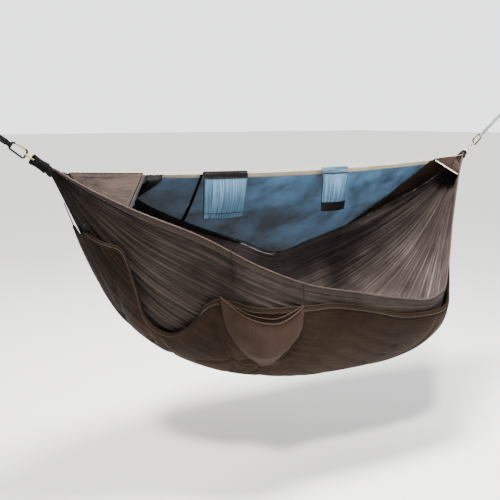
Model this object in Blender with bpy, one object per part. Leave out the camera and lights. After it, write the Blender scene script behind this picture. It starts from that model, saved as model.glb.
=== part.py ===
# Gathered-end hammock with a built-in insect net, ridgeline organizers, an
# underquilt with a storage pocket, and its webbing suspension, as it hangs.
# Metres. +X runs from the foot anchor to the head anchor, +Y away from the
# side with the door, +Z up. The origin is the middle of the foot anchor's eye.

import bpy
import bmesh
from math import acos, asin, cos, pi, radians, sin, sqrt, tan
from mathutils import Vector
from mathutils.geometry import tessellate_polygon

# Overall sizes
RIDGELINE_LENGTH = 2.70       # structural ridgeline, gather to gather
SUSPENSION_LENGTH = 0.50      # gather to the middle of the anchor eye
HANG_ANGLE = radians(34)      # suspension above the level
NEAR_SPREAD = 0.52            # near hem, out from the ridge's plane
NEAR_DROP = 0.71              # near hem, below the gathers
FAR_SPREAD = 0.50
FAR_DROP = 0.585
BODY_DROP = 1.06              # lowest cloth, below the gathers
RIDGE_SAG = 0.04

# Clearances
SEAT_GAP = 0.0003             # between pieces that touch
SEAM_GAP = 0.0008             # between sewn panels whose edges curve
CUT_OVERRUN = 0.004           # how far a cutter passes through

# Cloth and gathers
CLOTH = 0.002
GATHER_RADIUS = 0.018         # bunched cloth at each gather
GATHER_MOUTH = radians(50)    # half the opening of the bunched C
GATHER_REACH_SHARE = 0.06
BELLY_SHARE = 1.12            # how far the section swells past its hems
FOLDS = 5
FOLD_DEPTH = 0.020
FOLD_REACH_SHARE = 0.32
BODY_ROWS = 24
BODY_COLUMNS = 20
HEM_RADIUS = 0.004
RIDGELINE_RADIUS = 0.0015

# Shares of the ridgeline's length against shares of a spread or a drop
NEAR_SPREAD_SHARES = (
    (0, 0), (0.10, 0.33), (0.204, 0.60), (0.306, 0.767), (0.40, 0.885), (0.50, 0.96),
    (0.60, 0.995), (0.68, 1), (0.725, 0.965), (0.79, 0.76), (0.861, 0.49), (0.944, 0.195), (1, 0))
NEAR_DROP_SHARES = (
    (0, 0), (0.10, 0.228), (0.204, 0.417), (0.306, 0.638), (0.40, 0.785), (0.50, 0.87),
    (0.60, 0.955), (0.68, 1), (0.725, 0.97), (0.79, 0.78), (0.861, 0.50), (0.944, 0.20), (1, 0))
FAR_SPREAD_SHARES = (
    (0, 0), (0.064, 0.276), (0.13, 0.506), (0.198, 0.692), (0.251, 0.796), (0.329, 0.898),
    (0.40, 0.97), (0.503, 1), (0.60, 0.99), (0.689, 0.916), (0.776, 0.77), (0.857, 0.538),
    (0.943, 0.226), (1, 0))
FAR_DROP_SHARES = (
    (0, 0), (0.064, 0.072), (0.13, 0.161), (0.198, 0.280), (0.251, 0.398), (0.329, 0.542),
    (0.40, 0.67), (0.503, 0.839), (0.60, 0.995), (0.689, 0.889), (0.776, 0.75), (0.857, 0.542),
    (0.943, 0.267), (1, 0))
BODY_DROP_SHARES = (
    (0, 0), (0.04, 0.21), (0.074, 0.38), (0.111, 0.54), (0.159, 0.69), (0.233, 0.82),
    (0.344, 0.934), (0.5, 0.995), (0.611, 1), (0.722, 0.934), (0.815, 0.78), (0.87, 0.64),
    (0.944, 0.34), (1, 0))

# Bunched channel, whipping, loop and sleeve at each gather
KNUCKLE_RADIUS = 0.026
NECK_SIDES = 12
NECK_RADIUS = 0.015
FOOT_NECK_LENGTH = 0.080
HEAD_NECK_LENGTH = 0.052
WHIPPING_THICKNESS = 0.003
WHIPPING_WIDTH = 0.018
WHIPPING_TURNS = 4
LOOP_RADIUS = 0.0025
LOOP_TWISTS = 2
SLEEVE_WALL = 0.0015
SLEEVE_LENGTH = 0.072
SLEEVE_START = 0.026
SLEEVE_FLARE = 0.003

# Carabiner, from the hammock's side outwards
CARABINER_START = 0.128
CARABINER_LENGTH = 0.084
CARABINER_WIDE = 0.046
CARABINER_NARROW = 0.038
CARABINER_CORNER = 0.009
ROD_RADIUS = 0.004
ROD_CORNER_SHARE = 1.22       # the rod's squared section, corner to middle
TONGUE = 0.003                # thickness of the frame's two flat tongues
TONGUE_LENGTH = 0.009
TONGUE_DEPTH_SHARE = 0.80
ROD_DEPTH_SHARE = 1.10
ROD_SQUARE_SHARE = 1.25
GATE_WIDTH = 0.0075
GATE_SLACK = 0.0004
RIVET_RADIUS = 0.0014
RIVET_HEAD = 0.0008
RIVET_HEAD_SHARE = 1.7        # the head's radius to the shank's
NOSE_INSET = 0.013
PIVOT_INSET = 0.014

# Webbing
WEBBING_WIDTH = 0.025
WEBBING = 0.0016
WEBBING_EYE_WIDTH = 0.011     # folded where it goes round the carabiner
STITCHED_LENGTH = 0.070
ANCHOR_EYE_RADIUS = 0.018
ANCHOR_EYE_THROAT = 0.042
TWIST_REACH = 0.430           # gather to the point where the webbing twists

# Net, end caps and ridge tape
TAPE_DROP = 0.0095            # ridge tape's top edge, below the ridgeline
TAPE_OFFSET = 0.0115          # and behind it
TAPE_WIDTH = 0.035
NET = 0.0015
CAP = 0.0015
BINDING_WIDTH = 0.016
CAP_ROWS = 5
CAP_COLUMN_SHARES = (0, 0.04, 0.2, 0.4, 0.6, 0.8, 1)
CAP_REVEAL = 0.0035           # cap's fold below the ridgeline's middle
CAP_START_SHARE = 0.030
FOOT_CAP_TOP_SHARE = 0.165
FOOT_CAP_NEAR_SHARE = 0.100
FOOT_CAP_FAR_SHARE = 0.111
FOOT_SEAM_TOP_SHARE = 0.287
FOOT_SEAM_FAR_SHARE = 0.348
HEAD_CAP_TOP_SHARE = 0.907
HEAD_CAP_NEAR_SHARE = 0.955
HEAD_CAP_FAR_SHARE = 0.776
HEAD_CAP_END_SHARE = 0.975
NET_SAG = 0.012
CAP_SAG = 0.015
CAP_SEAM_GAP = 0.005          # where a cap's far edge meets the net's binding

EDGE_BAND_WIDTH = 0.018       # cream binding on the head cap's door edge

# Zip on the foot cap's door edge
ZIP_TAPE_WIDTH = 0.014
ZIP_TAPE = 0.0015
SLIDER_LENGTH = 0.012
SLIDER_WIDTH = 0.009
SLIDER_THICKNESS = 0.0055
SLIDER_REST_SHARE = 0.10
PULL_LENGTH = 0.042
PULL_RADIUS = 0.0022
PULL_BEAD_RADIUS = 0.0042

# Stowed door net
BUNDLE_RADIUS = 0.034
BUNDLE_FOLDS = 5
BUNDLE_STEPS = 2
BUNDLE_FOLD_DEPTH = 0.006
BUNDLE_SEAT_SHARES = (-1.53, -0.67)   # from the far hem, across and up
TIE_WIDTH = 0.012
TIE_THICKNESS = 0.002
TIE_STATION = 5

# Ridgeline organizers: where each sits, how wide and how deep it hangs
ORGANIZERS = (
    ("organizer_a", 0.3356, 0.262, 0.195),
    ("organizer_b", 0.6048, 0.186, 0.205),
)
CHANNEL_BORE = 0.0050
CHANNEL_SLACK = 0.0010        # over the ridgeline, for the line's sag along the slide
BAND = 0.0015
BAND_DROP = 0.028
BAG_WALL = 0.0015
BAG_BELLY = 0.045
BAG_MOUTH = 0.020
BAG_LEAN_SHARE = 0.125        # the bag hangs plumb under its hinge, so its back leans
BASE_THICKNESS = 0.003
BASE_DEPTH = 0.030
RIM_RADIUS = 0.0022

# Underquilt
QUILT_GAP = 0.008             # to the hammock's cloth
QUILT_LOFT = 0.042
QUILT_EDGE = 0.008
QUILT_START_SHARE = 0.05
QUILT_END_SHARE = 0.95
QUILT_ROWS = 34
QUILT_COLUMNS = 14
QUILT_ROW_SHARES = ((0, 0.05), (0.08, 0.085), (0.42, 0.235), (0.55, 0.35), (0.75, 0.65), (1, 0.95))
QUILT_NEAR_SHARES = (
    (0.05, 0.32), (0.075, 0.20), (0.092, 0.155), (0.117, 0.24), (0.145, 0.35), (0.165, 0.375),
    (0.185, 0.355), (0.20, 0.28), (0.217, 0.16), (0.235, 0.125), (0.30, 0.10), (0.375, 0.06),
    (0.45, 0.035), (0.533, 0.04), (0.60, 0.05), (0.667, 0.045), (0.72, 0.06), (0.80, 0.12),
    (0.88, 0.20), (0.95, 0.30))
QUILT_FAR_SHARES = (
    (0.05, 0.68), (0.10, 0.80), (0.20, 0.90), (0.35, 0.95), (0.65, 0.95), (0.80, 0.88),
    (0.95, 0.70))
DRAWCORD_RADIUS = 0.003
DRAWCORD_TAIL_SHARES = (0.290, 0.235)
TETHER_RADIUS = 0.0025
TETHER_COLUMNS = (3, 11)
RUN_STEP_SHARE = 0.001
TETHER_TACK_SHARE = 0.025     # where each tether is tacked to the hammock's cloth

# Storage pocket on the quilt's near side, as shares of the cloth's surface
POCKET_LEFT_SHARES = ((0, 0.236), (0.35, 0.255), (0.7, 0.292), (1, 0.332))
POCKET_RIGHT_SHARES = ((0, 0.378), (0.35, 0.378), (0.7, 0.372), (1, 0.362))
POCKET_TOP_SHARES = ((0, 0.115), (0.3, 0.125), (0.6, 0.115), (1, 0.055))
POCKET_DEPTH_SHARE = 0.12
POCKET_LEFT_DEEPER = 0.2      # how much deeper its foot end hangs
POCKET_BACK_GAP = 0.006
POCKET_BELLY = 0.070
POCKET_MOUTH_SHARE = 0.60
POCKET_WALL = 0.002
POCKET_SIDE = 0.009
POCKET_COLUMNS = 10
POCKET_SIDE_SHARE = 0.012
POCKET_FLOOR_SHARE = 0.04
LIP_RADIUS = 0.0045
LIP_GAP = 0.0008
LIP_CORNER_LIFT = 0.003
POCKET_CORD_RADIUS = 0.0016
POCKET_CORD_OUT = 0.016
# Where each cord leaves the hem, how it leans and how low it bends
POCKET_CORDS = (("left", 0.2510, 0.001, 0.003, 0.060), ("right", 0.3790, 0.000, 0.000, 0.030))
POCKET_CORD_HIGH_SHARE = 0.020

# Cord lock
LOCK_RADIUS = 0.0070
LOCK_HEIGHT = 0.0160
LOCK_FLOOR = 0.0075           # solid end, with the cord's hole through it
LOCK_BORE = 0.0046
LOCK_EASE = 0.0012            # rounding of the barrel's rims
LOCK_CORD_SLACK = 0.0005
LOCK_SPOT_SHARE = 0.4         # how far along its cord each lock sits
PLUNGER_RADIUS = 0.0043
PLUNGER_HEAD_RADIUS = 0.0056
PLUNGER_HEAD = 0.0030
PLUNGER_TRAVEL = 0.0040
PLUNGER_STOP = 0.0004

# Colour, roughness, metallic
FINISHES = {
    "shell_nylon": ((0.105, 0.072, 0.060), 0.62, 0.0),
    "cap_nylon": ((0.420, 0.300, 0.240), 0.70, 0.0),
    "quilt_nylon": ((0.085, 0.066, 0.050), 0.58, 0.0),
    "netting": ((0.180, 0.215, 0.260), 0.80, 0.0),
    "pale_tape": ((0.640, 0.600, 0.540), 0.75, 0.0),
    "black_trim": ((0.020, 0.019, 0.020), 0.70, 0.0),
    "cream_cord": ((0.720, 0.640, 0.420), 0.60, 0.0),
    "yellow_cord": ((0.520, 0.560, 0.100), 0.55, 0.0),
    "pale_rope": ((0.430, 0.400, 0.340), 0.65, 0.0),
    "black_webbing": ((0.018, 0.018, 0.020), 0.72, 0.0),
    "grey_webbing": ((0.520, 0.530, 0.530), 0.72, 0.0),
    "black_anodised": ((0.022, 0.022, 0.024), 0.30, 1.0),
    "gold_anodised": ((0.800, 0.520, 0.120), 0.28, 1.0),
    "rivet_steel": ((0.600, 0.600, 0.600), 0.30, 1.0),
    "zip_black": ((0.025, 0.024, 0.025), 0.45, 0.0),
    "lock_plastic": ((0.022, 0.022, 0.022), 0.40, 0.0),
}

ALONG = Vector((1, 0, 0))
ACROSS = Vector((0, 1, 0))
UP = Vector((0, 0, 1))
RISE = {
    "foot": Vector((-cos(HANG_ANGLE), 0, sin(HANG_ANGLE))),
    "head": Vector((cos(HANG_ANGLE), 0, sin(HANG_ANGLE))),
}
SQUARE_UP = {
    "foot": Vector((sin(HANG_ANGLE), 0, cos(HANG_ANGLE))),
    "head": Vector((-sin(HANG_ANGLE), 0, cos(HANG_ANGLE))),
}
GATHER = {"foot": -SUSPENSION_LENGTH * RISE["foot"]}
GATHER["head"] = GATHER["foot"] + RIDGELINE_LENGTH * ALONG


# Scene and mesh helpers

def clear_scene():
    for item in list(bpy.data.objects):
        bpy.data.objects.remove(item, do_unlink=True)


def finish_material(slot):
    material = bpy.data.materials.get(slot)
    if material:
        return material
    colour, roughness, metallic = FINISHES[slot]
    material = bpy.data.materials.new(slot)
    material.use_nodes = True
    shader = material.node_tree.nodes["Principled BSDF"]
    shader.inputs["Base Color"].default_value = (*colour, 1)
    shader.inputs["Roughness"].default_value = roughness
    shader.inputs["Metallic"].default_value = metallic
    return material


def add_mesh(name, points, faces, slot, origin=None):
    # A closed mesh given in world places, with its own origin if it moves
    origin = origin or Vector()
    mesh = bpy.data.meshes.new(name)
    mesh.from_pydata([point - origin for point in points], [], faces)
    shape = bmesh.new()
    shape.from_mesh(mesh)
    bmesh.ops.recalc_face_normals(shape, faces=shape.faces)
    shape.to_mesh(mesh)
    shape.free()
    mesh.materials.append(finish_material(slot))
    item = bpy.data.objects.new(name, mesh)
    item.location = origin
    bpy.context.scene.collection.objects.link(item)
    return item


def smooth(item, angle=radians(35)):
    item.data.shade_smooth()
    item.data.set_sharp_from_angle(angle=angle)
    return item


def quad_strips(first, second, count, closed):
    last = count if closed else count - 1
    return [(first + k, first + (k + 1) % count, second + (k + 1) % count, second + k)
            for k in range(last)]


def loft(name, rings, slot, origin=None):
    # Solid through closed rings of points, with a fan at each end
    count = len(rings[0])
    points = [point for ring in rings for point in ring]
    faces = []
    for index in range(len(rings) - 1):
        faces += quad_strips(index * count, (index + 1) * count, count, True)
    for ring, start in ((rings[0], 0), (rings[-1], (len(rings) - 1) * count)):
        middle = len(points)
        points.append(sum(ring, Vector()) / count)
        faces += [(start + k, start + (k + 1) % count, middle) for k in range(count)]
    return smooth(add_mesh(name, points, faces, slot, origin))


def hollow(name, outer, inner, slot, floor, origin=None):
    # Wall between two sets of rings that start at a shared rim. With a floor
    # both sets end in a fan, and without one the wall is open at both ends.
    count = len(outer[0])
    points = [point for ring in outer + inner for point in ring]
    faces = []
    inner_start = len(outer) * count
    for start, rings in ((0, outer), (inner_start, inner)):
        for index in range(len(rings) - 1):
            base = start + index * count
            faces += quad_strips(base, base + count, count, True)
    faces += quad_strips(0, inner_start, count, True)
    outer_end = inner_start - count
    inner_end = len(points) - count
    if floor:
        for ring, start in ((outer[-1], outer_end), (inner[-1], inner_end)):
            middle = len(points)
            points.append(sum(ring, Vector()) / count)
            faces += [(start + k, start + (k + 1) % count, middle) for k in range(count)]
    else:
        faces += quad_strips(outer_end, inner_end, count, True)
    return smooth(add_mesh(name, points, faces, slot, origin))


def sheet(name, front, back, slot):
    # Closed cloth between two grids of points, given row by row
    rows = len(front)
    count = len(front[0])
    points = [point for row in front + back for point in row]
    back_start = rows * count
    faces = []
    for start in (0, back_start):
        for row in range(rows - 1):
            base = start + row * count
            faces += quad_strips(base, base + count, count, False)
    border = [k for k in range(count)]
    border += [row * count + count - 1 for row in range(1, rows)]
    border += [(rows - 1) * count + k for k in range(count - 2, -1, -1)]
    border += [row * count for row in range(rows - 2, 0, -1)]
    size = len(border)
    faces += [(border[k], border[(k + 1) % size], border[(k + 1) % size] + back_start,
               border[k] + back_start) for k in range(size)]
    return smooth(add_mesh(name, points, faces, slot))


def prism(name, loops, place, low, high, slot, origin=None):
    # Outline with any holes, drawn in two directions and run along a third
    flat = [Vector((a, b, 0)) for loop in loops for a, b in loop]
    triangles = tessellate_polygon([[Vector((a, b, 0)) for a, b in loop] for loop in loops])
    size = len(flat)
    points = [place(spot.x, spot.y, low) for spot in flat]
    points += [place(spot.x, spot.y, high) for spot in flat]
    faces = [tuple(triangle) for triangle in triangles]
    faces += [tuple(corner + size for corner in triangle) for triangle in triangles]
    start = 0
    for loop in loops:
        faces += quad_strips(start, start + size, len(loop), True)
        start += len(loop)
    return smooth(add_mesh(name, points, faces, slot, origin))


def cord(name, points, radius, slot, resolution=1, closed=False, swell=None):
    curve = bpy.data.curves.new(name, "CURVE")
    curve.dimensions = "3D"
    curve.bevel_depth = radius
    curve.bevel_resolution = resolution
    curve.use_fill_caps = True
    curve.twist_mode = "MINIMUM"
    spline = curve.splines.new("POLY")
    spline.points.add(len(points) - 1)
    for index, point in enumerate(points):
        spline.points[index].co = (*point, 1)
        if swell:
            spline.points[index].radius = swell[index]
    spline.use_cyclic_u = closed
    curve.materials.append(finish_material(slot))
    item = bpy.data.objects.new(name, curve)
    bpy.context.scene.collection.objects.link(item)
    return item


def cut(item, cutter):
    cutter.hide_render = True
    cutter.display_type = "WIRE"
    modifier = item.modifiers.new("cut", "BOOLEAN")
    modifier.operation = "DIFFERENCE"
    modifier.object = cutter
    modifier.solver = "EXACT"


def circle(radius, start, stop, steps):
    # Points of an arc, both ends included
    return [(radius * cos(start + (stop - start) * k / steps),
             radius * sin(start + (stop - start) * k / steps)) for k in range(steps + 1)]


def ring_about(centre, side, other, radius, sides):
    return [centre + radius * (cos(2 * pi * k / sides) * side + sin(2 * pi * k / sides) * other)
            for k in range(sides)]


def turned(name, base, axis, side, profile, sides, slot, origin=None):
    # Solid of revolution: profile holds (height along the axis, radius)
    other = axis.cross(side)
    rings = [ring_about(base + height * axis, side, other, radius, sides)
             for height, radius in profile]
    return loft(name, rings, slot, origin)


def through_points(points, steps):
    # Smooth curve that passes through hand-chosen points
    ends = [2 * points[0] - points[1]] + points + [2 * points[-1] - points[-2]]
    path = []
    for k in range(1, len(ends) - 2):
        before, start, stop, after = ends[k - 1:k + 3]
        for step in range(steps):
            t = step / steps
            path.append(0.5 * (2 * start + (stop - before) * t
                               + (2 * before - 5 * start + 4 * stop - after) * t ** 2
                               + (3 * start - before - 3 * stop + after) * t ** 3))
    path.append(points[-1])
    return path


def curve_share(table, share):
    # Smooth curve through a table of shares that never overshoots them
    xs = [spot for spot, value in table]
    ys = [value for spot, value in table]
    last = len(xs) - 1
    share = min(max(share, xs[0]), xs[last])
    widths = [xs[k + 1] - xs[k] for k in range(last)]
    slopes = [(ys[k + 1] - ys[k]) / widths[k] for k in range(last)]
    leans = [slopes[0]]
    for k in range(1, last):
        if slopes[k - 1] * slopes[k] <= 0:
            leans.append(0)
            continue
        heavy = 2 * widths[k] + widths[k - 1]
        light = widths[k] + 2 * widths[k - 1]
        leans.append((heavy + light) / (heavy / slopes[k - 1] + light / slopes[k]))
    leans.append(slopes[-1])
    k = next(k for k in range(last) if share <= xs[k + 1])
    t = (share - xs[k]) / widths[k]
    rise = ys[k] * (1 + 2 * t) * (1 - t) ** 2 + ys[k + 1] * t * t * (3 - 2 * t)
    lean = leans[k] * t * (1 - t) ** 2 + leans[k + 1] * t * t * (t - 1)
    return rise + widths[k] * lean


# The hammock's surface: s runs from the foot gather to the head gather and v
# from the near hem, round the bottom, to the far hem

def cloth_surface(s, v):
    near = Vector((0, -NEAR_SPREAD * curve_share(NEAR_SPREAD_SHARES, s),
                   -NEAR_DROP * curve_share(NEAR_DROP_SHARES, s)))
    far = Vector((0, FAR_SPREAD * curve_share(FAR_SPREAD_SHARES, s),
                  -FAR_DROP * curve_share(FAR_DROP_SHARES, s)))
    bottom = -BODY_DROP * curve_share(BODY_DROP_SHARES, s)
    handle = (8 * bottom - near.z - far.z) / 6
    near_handle = Vector((0, BELLY_SHARE * near.y, handle))
    far_handle = Vector((0, BELLY_SHARE * far.y, handle))
    w = 1 - v
    section = (w ** 3 * near + 3 * w * w * v * near_handle + 3 * w * v * v * far_handle
               + v ** 3 * far)
    angle = GATHER_MOUTH + 2 * (pi - GATHER_MOUTH) * v
    bunch = max(0, 1 - min(s, 1 - s) / GATHER_REACH_SHARE) ** 2
    ring = GATHER_RADIUS * Vector((0, -sin(angle), cos(angle)))
    return GATHER["foot"] + s * RIDGELINE_LENGTH * ALONG + section + bunch * ring


def cloth_lean(s, v):
    # Unit directions outwards from the surface, and up along it to the near hem
    step = 1e-4
    low_s, high_s = max(0, s - step), min(1, s + step)
    low_v, high_v = max(0, v - step), min(1, v + step)
    forward = cloth_surface(high_s, v) - cloth_surface(low_s, v)
    round_bottom = cloth_surface(s, high_v) - cloth_surface(s, low_v)
    outward = round_bottom.cross(forward).normalized()
    return outward, outward.cross(forward).normalized()


def cloth_point(s, v, out=0.0):
    return cloth_surface(s, v) + out * cloth_lean(s, v)[0]


def end_spaced(steps):
    # Shares that crowd towards both gathers
    return [(1 - cos(pi * k / steps)) / 2 for k in range(steps + 1)]


def hem_station(s, side):
    # Middle of the rolled hem that runs just above the cloth's edge
    edge = 0 if side == "near" else 1
    upward = cloth_lean(s, edge)[1] * (1 if side == "near" else -1)
    return cloth_surface(s, edge) + (HEM_RADIUS + 2 * SEAT_GAP) * upward


def hem_point(s, side):
    # On the straight runs between the stations, as the hem itself is built
    stations = end_spaced(BODY_ROWS)
    k = next(k for k in range(BODY_ROWS) if s <= stations[k + 1])
    start = hem_station(stations[k], side)
    stop = hem_station(stations[k + 1], side)
    t = (s - stations[k]) / (stations[k + 1] - stations[k])
    return start + t * (stop - start), (stop - start).normalized()


def hem_seat(s, side, target):
    # Where cloth that comes down from the target meets the hem
    middle, run = hem_point(s, side)
    climb = target - middle
    climb = (climb - climb.dot(run) * run).normalized()
    return middle + (HEM_RADIUS + SEAM_GAP) * climb


def clear_of_knuckles(route, radius):
    # Draws both ends back along their runs until the cut ends clear the knuckles
    for tip, neighbour, end, side in ((0, 1, "foot", 1), (-1, -2, "head", -1)):
        run = (route[tip] - route[neighbour]).normalized()
        beyond = (GATHER[end].x - route[tip].x) * side + SEAT_GAP + radius * sqrt(1 - run.x ** 2)
        if beyond > 0 and abs(run.x) > 0:
            route[tip] = route[tip] - beyond / abs(run.x) * run
    return route


def ridge_point(s):
    sag = 4 * RIDGE_SAG * s * (1 - s)
    return GATHER["foot"] + s * RIDGELINE_LENGTH * ALONG - sag * UP


def fold_depth(s, v):
    # Pleats that fan out of each gather and die away over the body
    reach = min(s, 1 - s) / FOLD_REACH_SHARE
    if reach >= 1:
        return 0
    return FOLD_DEPTH * sin(pi * sqrt(reach)) * (1 - cos(2 * pi * FOLDS * v)) / 2


def make_body():
    outer = []
    inner = []
    for s in end_spaced(BODY_ROWS):
        shares = [column / BODY_COLUMNS for column in range(BODY_COLUMNS + 1)]
        for grid, depth in ((outer, 0), (inner, CLOTH)):
            row = [cloth_point(s, v, -fold_depth(s, v) - depth) for v in shares]
            for point in row:
                point.x = min(max(point.x, GATHER["foot"].x), GATHER["head"].x)
            grid.append(row)
    sheet("hammock_body", outer, inner, "shell_nylon")
    for side in ("near", "far"):
        route = [hem_station(s, side) for s in end_spaced(BODY_ROWS)]
        cord(side + "_hem", clear_of_knuckles(route, HEM_RADIUS), HEM_RADIUS, "black_trim")
    route = [ridge_point(s) for s in end_spaced(BODY_ROWS)]
    cord("ridgeline", clear_of_knuckles(route, RIDGELINE_RADIUS), RIDGELINE_RADIUS, "cream_cord")


# Suspension: each end is drawn along its own rise

def suspension_place(end, start=0.0):
    def place(along, across, up):
        return (GATHER[end] + (start + along) * RISE[end] + across * ACROSS + up * SQUARE_UP[end])
    return place


def make_gather(end):
    # Bunched channel: a knuckle against the cloth's end, then a neck
    length = FOOT_NECK_LENGTH if end == "foot" else HEAD_NECK_LENGTH
    place = suspension_place(end)
    outward = ALONG if end == "head" else -ALONG
    sides = NECK_SIDES
    flat = ring_about(GATHER[end] + SEAT_GAP * outward, ACROSS, UP, KNUCKLE_RADIUS, sides)
    rings = [flat]
    shoulder = KNUCKLE_RADIUS * tan(HANG_ANGLE)
    for reach, radius in ((shoulder + CLOTH, NECK_RADIUS + CLOTH), (length / 2 + CLOTH, NECK_RADIUS),
                          (length - CLOTH, NECK_RADIUS), (length, NECK_RADIUS - CLOTH)):
        rings.append(ring_about(place(reach, 0, 0), ACROSS, SQUARE_UP[end], radius, sides))
    loft(end + "_gather", rings, "shell_nylon")
    whipping_middle = length - CLOTH - WHIPPING_WIDTH / 2 - CLOTH
    return length, whipping_middle


def make_whipping(end, middle):
    # Cord wound round the neck, drawn as a ribbed band
    place = suspension_place(end)
    sides = NECK_SIDES
    turn = WHIPPING_WIDTH / WHIPPING_TURNS
    inner_radius = NECK_RADIUS + SEAT_GAP
    outer = []
    inner = []
    for rib in range(WHIPPING_TURNS):
        for share, height in ((0, 0.5), (0.5, 1)):
            reach = middle - WHIPPING_WIDTH / 2 + (rib + share) * turn
            radius = inner_radius + height * WHIPPING_THICKNESS
            outer.append(ring_about(place(reach, 0, 0), ACROSS, SQUARE_UP[end], radius, sides))
    reach = middle + WHIPPING_WIDTH / 2
    outer.append(ring_about(place(reach, 0, 0), ACROSS, SQUARE_UP[end],
                            inner_radius + WHIPPING_THICKNESS / 2, sides))
    for reach in (middle - WHIPPING_WIDTH / 2, middle + WHIPPING_WIDTH / 2):
        inner.append(ring_about(place(reach, 0, 0), ACROSS, SQUARE_UP[end], inner_radius, sides))
    hollow(end + "_whipping", outer, inner, "pale_rope" if end == "head" else "yellow_cord", False)


def make_loop(end, neck_length):
    # Two legs from the bunched channel, round the carabiner's wide end
    place = suspension_place(end)
    bend = ROD_CORNER_SHARE * ROD_RADIUS + LOOP_RADIUS + SEAT_GAP
    bar = CARABINER_START + ROD_RADIUS
    leg = LOOP_RADIUS + 2 * SEAT_GAP
    start = neck_length + SEAT_GAP
    straight = bar - bend - start
    twists = LOOP_TWISTS if end == "head" else 0
    steps = 15 if twists else 6
    first = []
    for k in range(steps):
        share = k / steps
        spread = leg + (bend - leg) * max(0, 2 * share - 1) ** 2
        angle = pi * twists * min(1, max(0, share - 1 / steps) * 5 / 4)
        first.append((start + share * (straight + bend), spread * cos(angle), spread * sin(angle)))
    arc = [(bar + along, across, 0) for across, along in circle(bend, 0, pi, 8)]
    route = [place(*spot) for spot in first + arc]
    route += [place(along, -across, -up) for along, across, up in reversed(first)]
    cord(end + "_loop", route, LOOP_RADIUS, "pale_rope" if end == "head" else "yellow_cord")


def make_sleeve(middle):
    place = suspension_place("foot")
    sides = NECK_SIDES
    bore = NECK_RADIUS + SEAT_GAP + WHIPPING_THICKNESS + SEAT_GAP
    outer = []
    inner = []
    for share in (0, 0.35, 0.8, 1):
        reach = SLEEVE_START + share * SLEEVE_LENGTH
        flare = SLEEVE_FLARE * (1 - 2 * share) ** 2
        for rings, radius in ((outer, bore + SLEEVE_WALL + flare), (inner, bore + flare)):
            rings.append(ring_about(place(reach, 0, 0), ACROSS, SQUARE_UP["foot"], radius, sides))
    hollow("foot_sleeve", outer, inner, "black_trim", False, origin=place(middle, 0, 0))


def rounded_corners(corners, radius, steps):
    # Open polyline whose inner corners are turned into arcs
    path = [corners[0]]
    for before, corner, after in zip(corners, corners[1:], corners[2:]):
        back = (before - corner).normalized()
        ahead = (after - corner).normalized()
        half = acos(max(-1, min(1, back.dot(ahead)))) / 2
        centre = corner + (back + ahead).normalized() * radius / sin(half)
        start = corner + back * radius / tan(half) - centre
        stop = corner + ahead * radius / tan(half) - centre
        sweep = pi - 2 * half
        for k in range(steps + 1):
            t = k / steps
            path.append(centre + (start * sin((1 - t) * sweep) + stop * sin(t * sweep)) / sin(sweep))
    path.append(corners[-1])
    return path


def make_carabiner(end):
    place = suspension_place(end, CARABINER_START)
    wide = CARABINER_WIDE / 2 - ROD_RADIUS
    narrow = CARABINER_NARROW / 2 - ROD_RADIUS
    far = CARABINER_LENGTH - ROD_RADIUS
    top_slope = (narrow - wide) / (far - ROD_RADIUS)
    nose = Vector((ROD_RADIUS + NOSE_INSET, wide + top_slope * NOSE_INSET, 0))
    pivot = Vector((far - PIVOT_INSET, narrow - top_slope * PIVOT_INSET, 0))
    corners = [nose, Vector((ROD_RADIUS, wide, 0)), Vector((ROD_RADIUS, -wide, 0)),
               Vector((far, -narrow, 0)), Vector((far, narrow, 0)), pivot]
    path = rounded_corners(corners, CARABINER_CORNER, 5)
    along_gate = (pivot - nose).normalized()
    # The two ends run on as flat tongues into the gate's slots
    path = [nose + TONGUE_LENGTH * along_gate, nose + SEAT_GAP * along_gate] + path
    path += [pivot - SEAT_GAP * along_gate, pivot - TONGUE_LENGTH * along_gate]
    sides = 10
    rings = []
    for index, spot in enumerate(path):
        before = path[max(0, index - 1)]
        after = path[min(len(path) - 1, index + 1)]
        tangent = (after - before).normalized()
        normal = Vector((-tangent.y, tangent.x, 0))
        flat = index < 2 or index > len(path) - 3
        depth = TONGUE / 2 if flat else ROD_RADIUS
        height = ROD_RADIUS * (TONGUE_DEPTH_SHARE if flat else ROD_DEPTH_SHARE)
        ring = []
        for k in range(sides):
            turn = 2 * pi * (k + 0.5) / sides
            spread = spot + height * cos(turn) * normal
            lift = max(-1, min(1, ROD_SQUARE_SHARE * sin(turn)))
            ring.append(place(spread.x, depth * lift, spread.y))
        rings.append(ring)
    frame = loft(end + "_carabiner_frame", rings, "black_anodised")
    axis = pivot - TONGUE_LENGTH / 2 * along_gate
    make_gate(end, place, nose, pivot, along_gate, axis, frame)


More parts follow.
